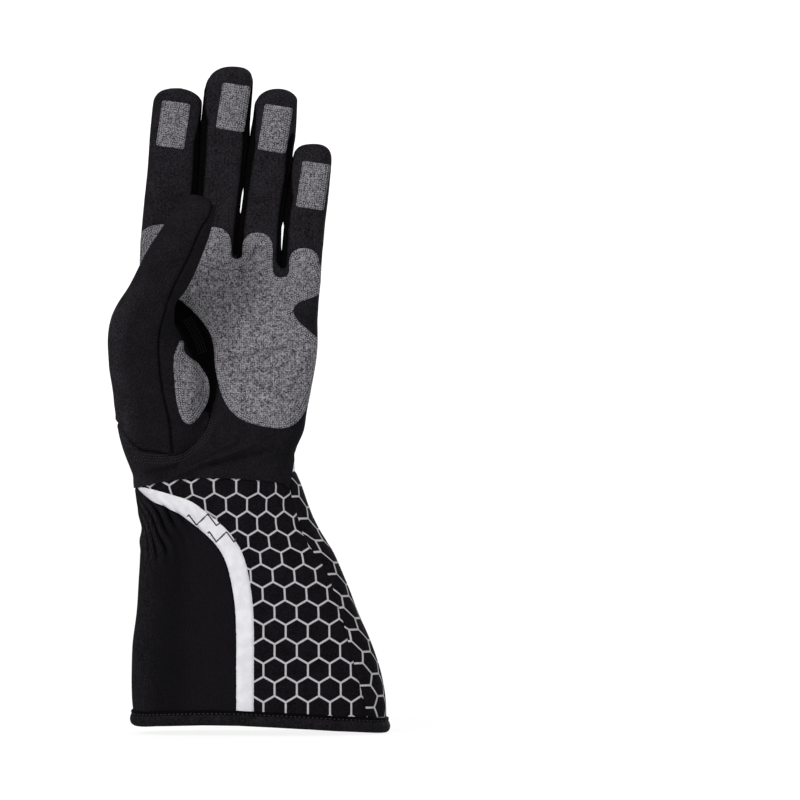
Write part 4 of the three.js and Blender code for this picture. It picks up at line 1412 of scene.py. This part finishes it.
def dark_cloth(look, dark, light):
    """Colour and height of a fine knitted cloth."""
    grain = look.noise(KNIT_SIZE, 2)
    fade = look.noise(KNIT_FADE_SIZE, 2)
    fade = look.math("MULTIPLY", fade, KNIT_FADE)
    share = look.math("MULTIPLY_ADD", grain, 1 - KNIT_FADE, fade)
    return look.mix(look.step(share, *KNIT_CONTRAST), dark, light), grain


def ribs(look, pitch):
    """Height of the cloth's ribs, which run up and down."""
    rib = look.math("PINGPONG", look.value("around"), pitch / 2)
    return look.math("MULTIPLY", rib, 2 / pitch)


def black_fabric(name, light, pitch, depth):
    look = Look(name, roughness=1.0, specular=0.025, bump=0.2)
    # Painted light: the cloth is paler where the painted light value says
    light = look.mix(look.value("stretch"), light, BLACK_PAINTED_LIGHT)
    color, grain = dark_cloth(look, BLACK_DARK, light)
    rib = ribs(look, pitch)
    color = look.mix(look.math("MULTIPLY_ADD", rib, depth, 1 - depth), BLACK_DARK, color)
    # Painted shade: darker where the shade value says, in folds, gather grooves and along seams and
    # finger edges
    color = look.mix(look.value("shade"), color, PAINTED_SHADE_DARK)
    return look.finish(color, look.math("MULTIPLY_ADD", rib, depth, grain))


def printed_fabric():
    look = Look("printed_fabric", roughness=0.95, specular=0.03, bump=0.12)
    color, grain = dark_cloth(look, PRINT_DARK, PRINT_LIGHT)
    wear = look.step(look.noise(PRINT_WEAR_SIZE, 2), *PRINT_WEAR)
    line = look.math("MULTIPLY", hexagon_lines(look), wear)
    return look.finish(look.mix(line, color, PRINT_COLOR), grain)


def grey_grip():
    look = Look("grey_grip", roughness=1.0, specular=0.06, bump=0.3)
    soft = look.math("MULTIPLY", look.noise(GRIP_SOFT_SIZE, 3), GRIP_SOFT)
    flecks = look.math("MULTIPLY_ADD", look.cells(GRIP_CELL), GRIP_FLECKS, soft)
    loops = look.math("MULTIPLY", look.wave(GRIP_PITCH, "X"), look.wave(GRIP_PITCH, "Z"))
    share = look.step(look.math("MULTIPLY_ADD", loops, GRIP_LOOPS, flecks), *GRIP_CONTRAST)
    share = look.math("MULTIPLY", share, look.step(look.value("row"), *GRIP_ROW))
    # painted shade in the creases
    share = look.math("MULTIPLY", share, look.step(look.value("crease"), *GRIP_CREASE_SHADE))
    return look.finish(look.mix(share, GREY_DARK, GREY_LIGHT), share)


def white_band():
    look = Look("white_band", roughness=0.6, specular=0.3, bump=0.25)
    weave = look.math("PINGPONG", look.value("height"), WEAVE_PITCH)
    fade = look.step(look.noise(BAND_FADE_SIZE, 3), *BAND_FADE)
    return look.finish(look.mix(fade, BAND_DARK, BAND_LIGHT), weave)


def thread(name, color):
    look = Look(name, roughness=0.8, specular=0.1, bump=0.05)
    fray = look.noise(FRAY_SIZE, 2)
    darker = [FRAY_DARK * part for part in color[:3]] + [1]
    return look.finish(look.mix(fray, darker, color), fray)


# Painted shade: the gussets on the fingers' sides are a darker copy of the black cloth, for the shade
# between the fingers
def gusset_painted_shade():
    look = Look("gusset_painted_shade", roughness=1.0, specular=0.01, bump=0.15)
    return look.finish(*dark_cloth(look, PAINTED_SHADE_DARK, PAINTED_SHADE_LIGHT))


def binding_tape():
    look = Look("binding_tape", roughness=0.9, specular=0.05, bump=0.2)
    color, grain = dark_cloth(look, PRINT_DARK, BLACK_LIGHT)
    # painted shade along the tape's upper edge, where it meets the cuff
    color = look.mix(look.step(look.value("height"), *TAPE_EDGE_SHADE), color, PAINTED_SHADE_DARK)
    rib = look.math("PINGPONG", look.value("along"), TAPE_PITCH)
    return look.finish(color, look.math("ADD", rib, grain))


def emitting(name, color, strength, base):
    look = Look(name, roughness=1.0, specular=0.0)
    look.shader.inputs["Base Color"].default_value = base
    look.shader.inputs["Emission Color"].default_value = color
    look.shader.inputs["Emission Strength"].default_value = strength
    return look.material


# Pieces

CLOTH_VALUES = ("around", "shade", "stretch")
black = black_fabric("black_fabric", BLACK_LIGHT, WALE_PITCH, WALE_DEPTH)
ribbed = black_fabric("ribbed_fabric", RIB_LIGHT, RIB_PITCH, RIB_DEPTH)
# Of each look: its material, its slot and the values of the cloth that its material reads
LOOKS = {
    "black": (black, "black_fabric", CLOTH_VALUES),
    "ribbed": (ribbed, "black_fabric", CLOTH_VALUES),
    "gusset": (gusset_painted_shade(), "black_fabric", CLOTH_VALUES),
    "printed": (printed_fabric(), "printed_fabric", ("u", "v")),
    "grip": (grey_grip(), "grey_grip", ("row", "crease")),
    "band": (white_band(), "white_band", ("height",)),
    "tape": (binding_tape(), "binding_tape", ("along", "height")),
    "patch_thread": (thread("light_thread", THREAD_LIGHT), "grey_grip", ()),
    "tape_thread": (thread("black_thread", THREAD_BLACK), "binding_tape", ()),
    "zigzag_thread": (thread("dark_thread", THREAD_DARK), "black_fabric", ()),
    "seam_thread": (thread("grey_thread", THREAD_GREY), "black_fabric", ()),
    # painted shade: the stitches in the deep fold get a darker copy of the seam thread
    "valley_shade_thread": (thread("valley_shade_thread", THREAD_VALLEY_SHADE), "black_fabric", ()),
}


def add_piece(name, cloth, look, node=None):
    """A visible piece in one of the looks, in the place of a CAD node if one is given."""
    material, slot, wanted = LOOKS[look]
    piece = make_object(name, cloth, material, wanted)
    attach(piece, "root")
    if node:
        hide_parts(node)


x, y, z = hand.points.T
shoulder = curl(z) + SHOULDER_DEPTH
hand.values["u"] = z / HEX_WIDTH
hand.values["around"] = x + np.sign(x - x.mean()) * np.maximum(0, shoulder - y)
hand.values["v"] = hand.values["around"] / HEX_WIDTH
for i, (name, look) in enumerate(HAND_PANELS.items()):
    add_piece(name + "_cloth", shell(hand.keep(hand_label == i), 0, -CLOTH_THICKNESS), look, name)

for name in PATCHES:
    skin, top = patch(name)
    add_piece(name + "_patch_cloth", skin, "grip", name + "_patch")
    rows = inner_rows(outlines[name], PATCH_STITCH_ROWS)
    add_piece(name + "_patch_stitches", stitches(Sheet(top), rows, *PATCH_STITCHES), "patch_thread")

for i, (name, look) in enumerate(CUFF_PANELS.items()):
    side = "front" if name == "cuff_palm_panel" else "back"
    cuff.values["u"], cuff.values["v"] = cuff.values[side + "_u"], cuff.values[side + "_v"]
    add_piece(name + "_cloth", shell(cuff.keep(cuff_label == i), 0, -CLOTH_THICKNESS), look, name)
tape, tape_stitches = binding()
add_piece("hem_binding_tape", tape, "tape", "hem_binding")
add_piece("hem_binding_stitches", tape_stitches, "tape_thread")

legs = [leg for line in ZIGZAGS for leg in zip(line[:-1], line[1:])]
add_piece("palm_band_zigzags", stitches(Sheet(cuff), legs, *ZIGZAG_STITCHES), "zigzag_thread")
seen_hand = Sheet(hand)
for name, line, look in (
    ("thumb_base_stitches", THUMB_BASE_STITCHES, "seam_thread"),
    ("thumb_valley_stitches", VALLEY_STITCHES, "valley_shade_thread"),
):
    base = refine(np.array(line), LINE_STEPS)
    along = unit(np.gradient(base, axis=0))
    outwards = np.stack([along[:, 1], -along[:, 0]], axis=1)
    rows = [base + row * outwards for row in THUMB_BASE_STITCH_ROWS]
    add_piece(name, stitches(seen_hand, rows, *SEAM_STITCHES), look)


# Floor, light and camera

def plane(name, size, height, material):
    mesh = bpy.data.meshes.new(name)
    corners = [(x, y, height) for x, y in ((-size, -size), (size, -size), (size, size), (-size, size))]
    mesh.from_pydata(corners, [], [(0, 1, 2, 3)])
    mesh.materials.append(material)
    return add_object(name, mesh)


floor_look = emitting("floor", WHITE_COLOR, FLOOR_GLOW, FLOOR_COLOR)
floor = plane("floor", STUDIO_SIZE, FLOOR_HEIGHT, floor_look)
floor.visible_diffuse = False
floor.visible_shadow = False
bpy.ops.mesh.primitive_uv_sphere_add(segments=64, ring_count=32, radius=STUDIO_SIZE)
dome = bpy.context.object
dome.name = "dome"
dome.data.materials.append(emitting("dome", WHITE_COLOR, 1.0, FLOOR_COLOR))
dome.visible_diffuse = False
dome.visible_glossy = False
dome.visible_transmission = False
dome.visible_shadow = False

world = bpy.data.worlds.new("world")
world.use_nodes = True
world.node_tree.nodes["Background"].inputs["Color"].default_value = (1, 1, 1, 1)
world.node_tree.nodes["Background"].inputs["Strength"].default_value = WORLD_LIGHT
bpy.context.scene.world = world
for name, elevation, azimuth, strength, size in SUNS:
    light = bpy.data.lights.new(name, "SUN")
    light.energy = strength * math.pi
    light.angle = math.radians(size)
    sun = add_object(name, light)
    sun.rotation_euler = (math.radians(90 - elevation), 0, math.radians(azimuth))

camera_data = bpy.data.cameras.new("camera")
camera_data.sensor_width = SENSOR
camera_data.lens = SENSOR * -CAMERA_PLACE[1] / VIEW_WIDTH
camera_data.clip_end = 100
camera = add_object("camera", camera_data)
camera.location = CAMERA_PLACE
camera.rotation_euler = (math.radians(90), 0, 0)
bpy.context.scene.camera = camera
bpy.context.scene.view_settings.view_transform = "Standard"
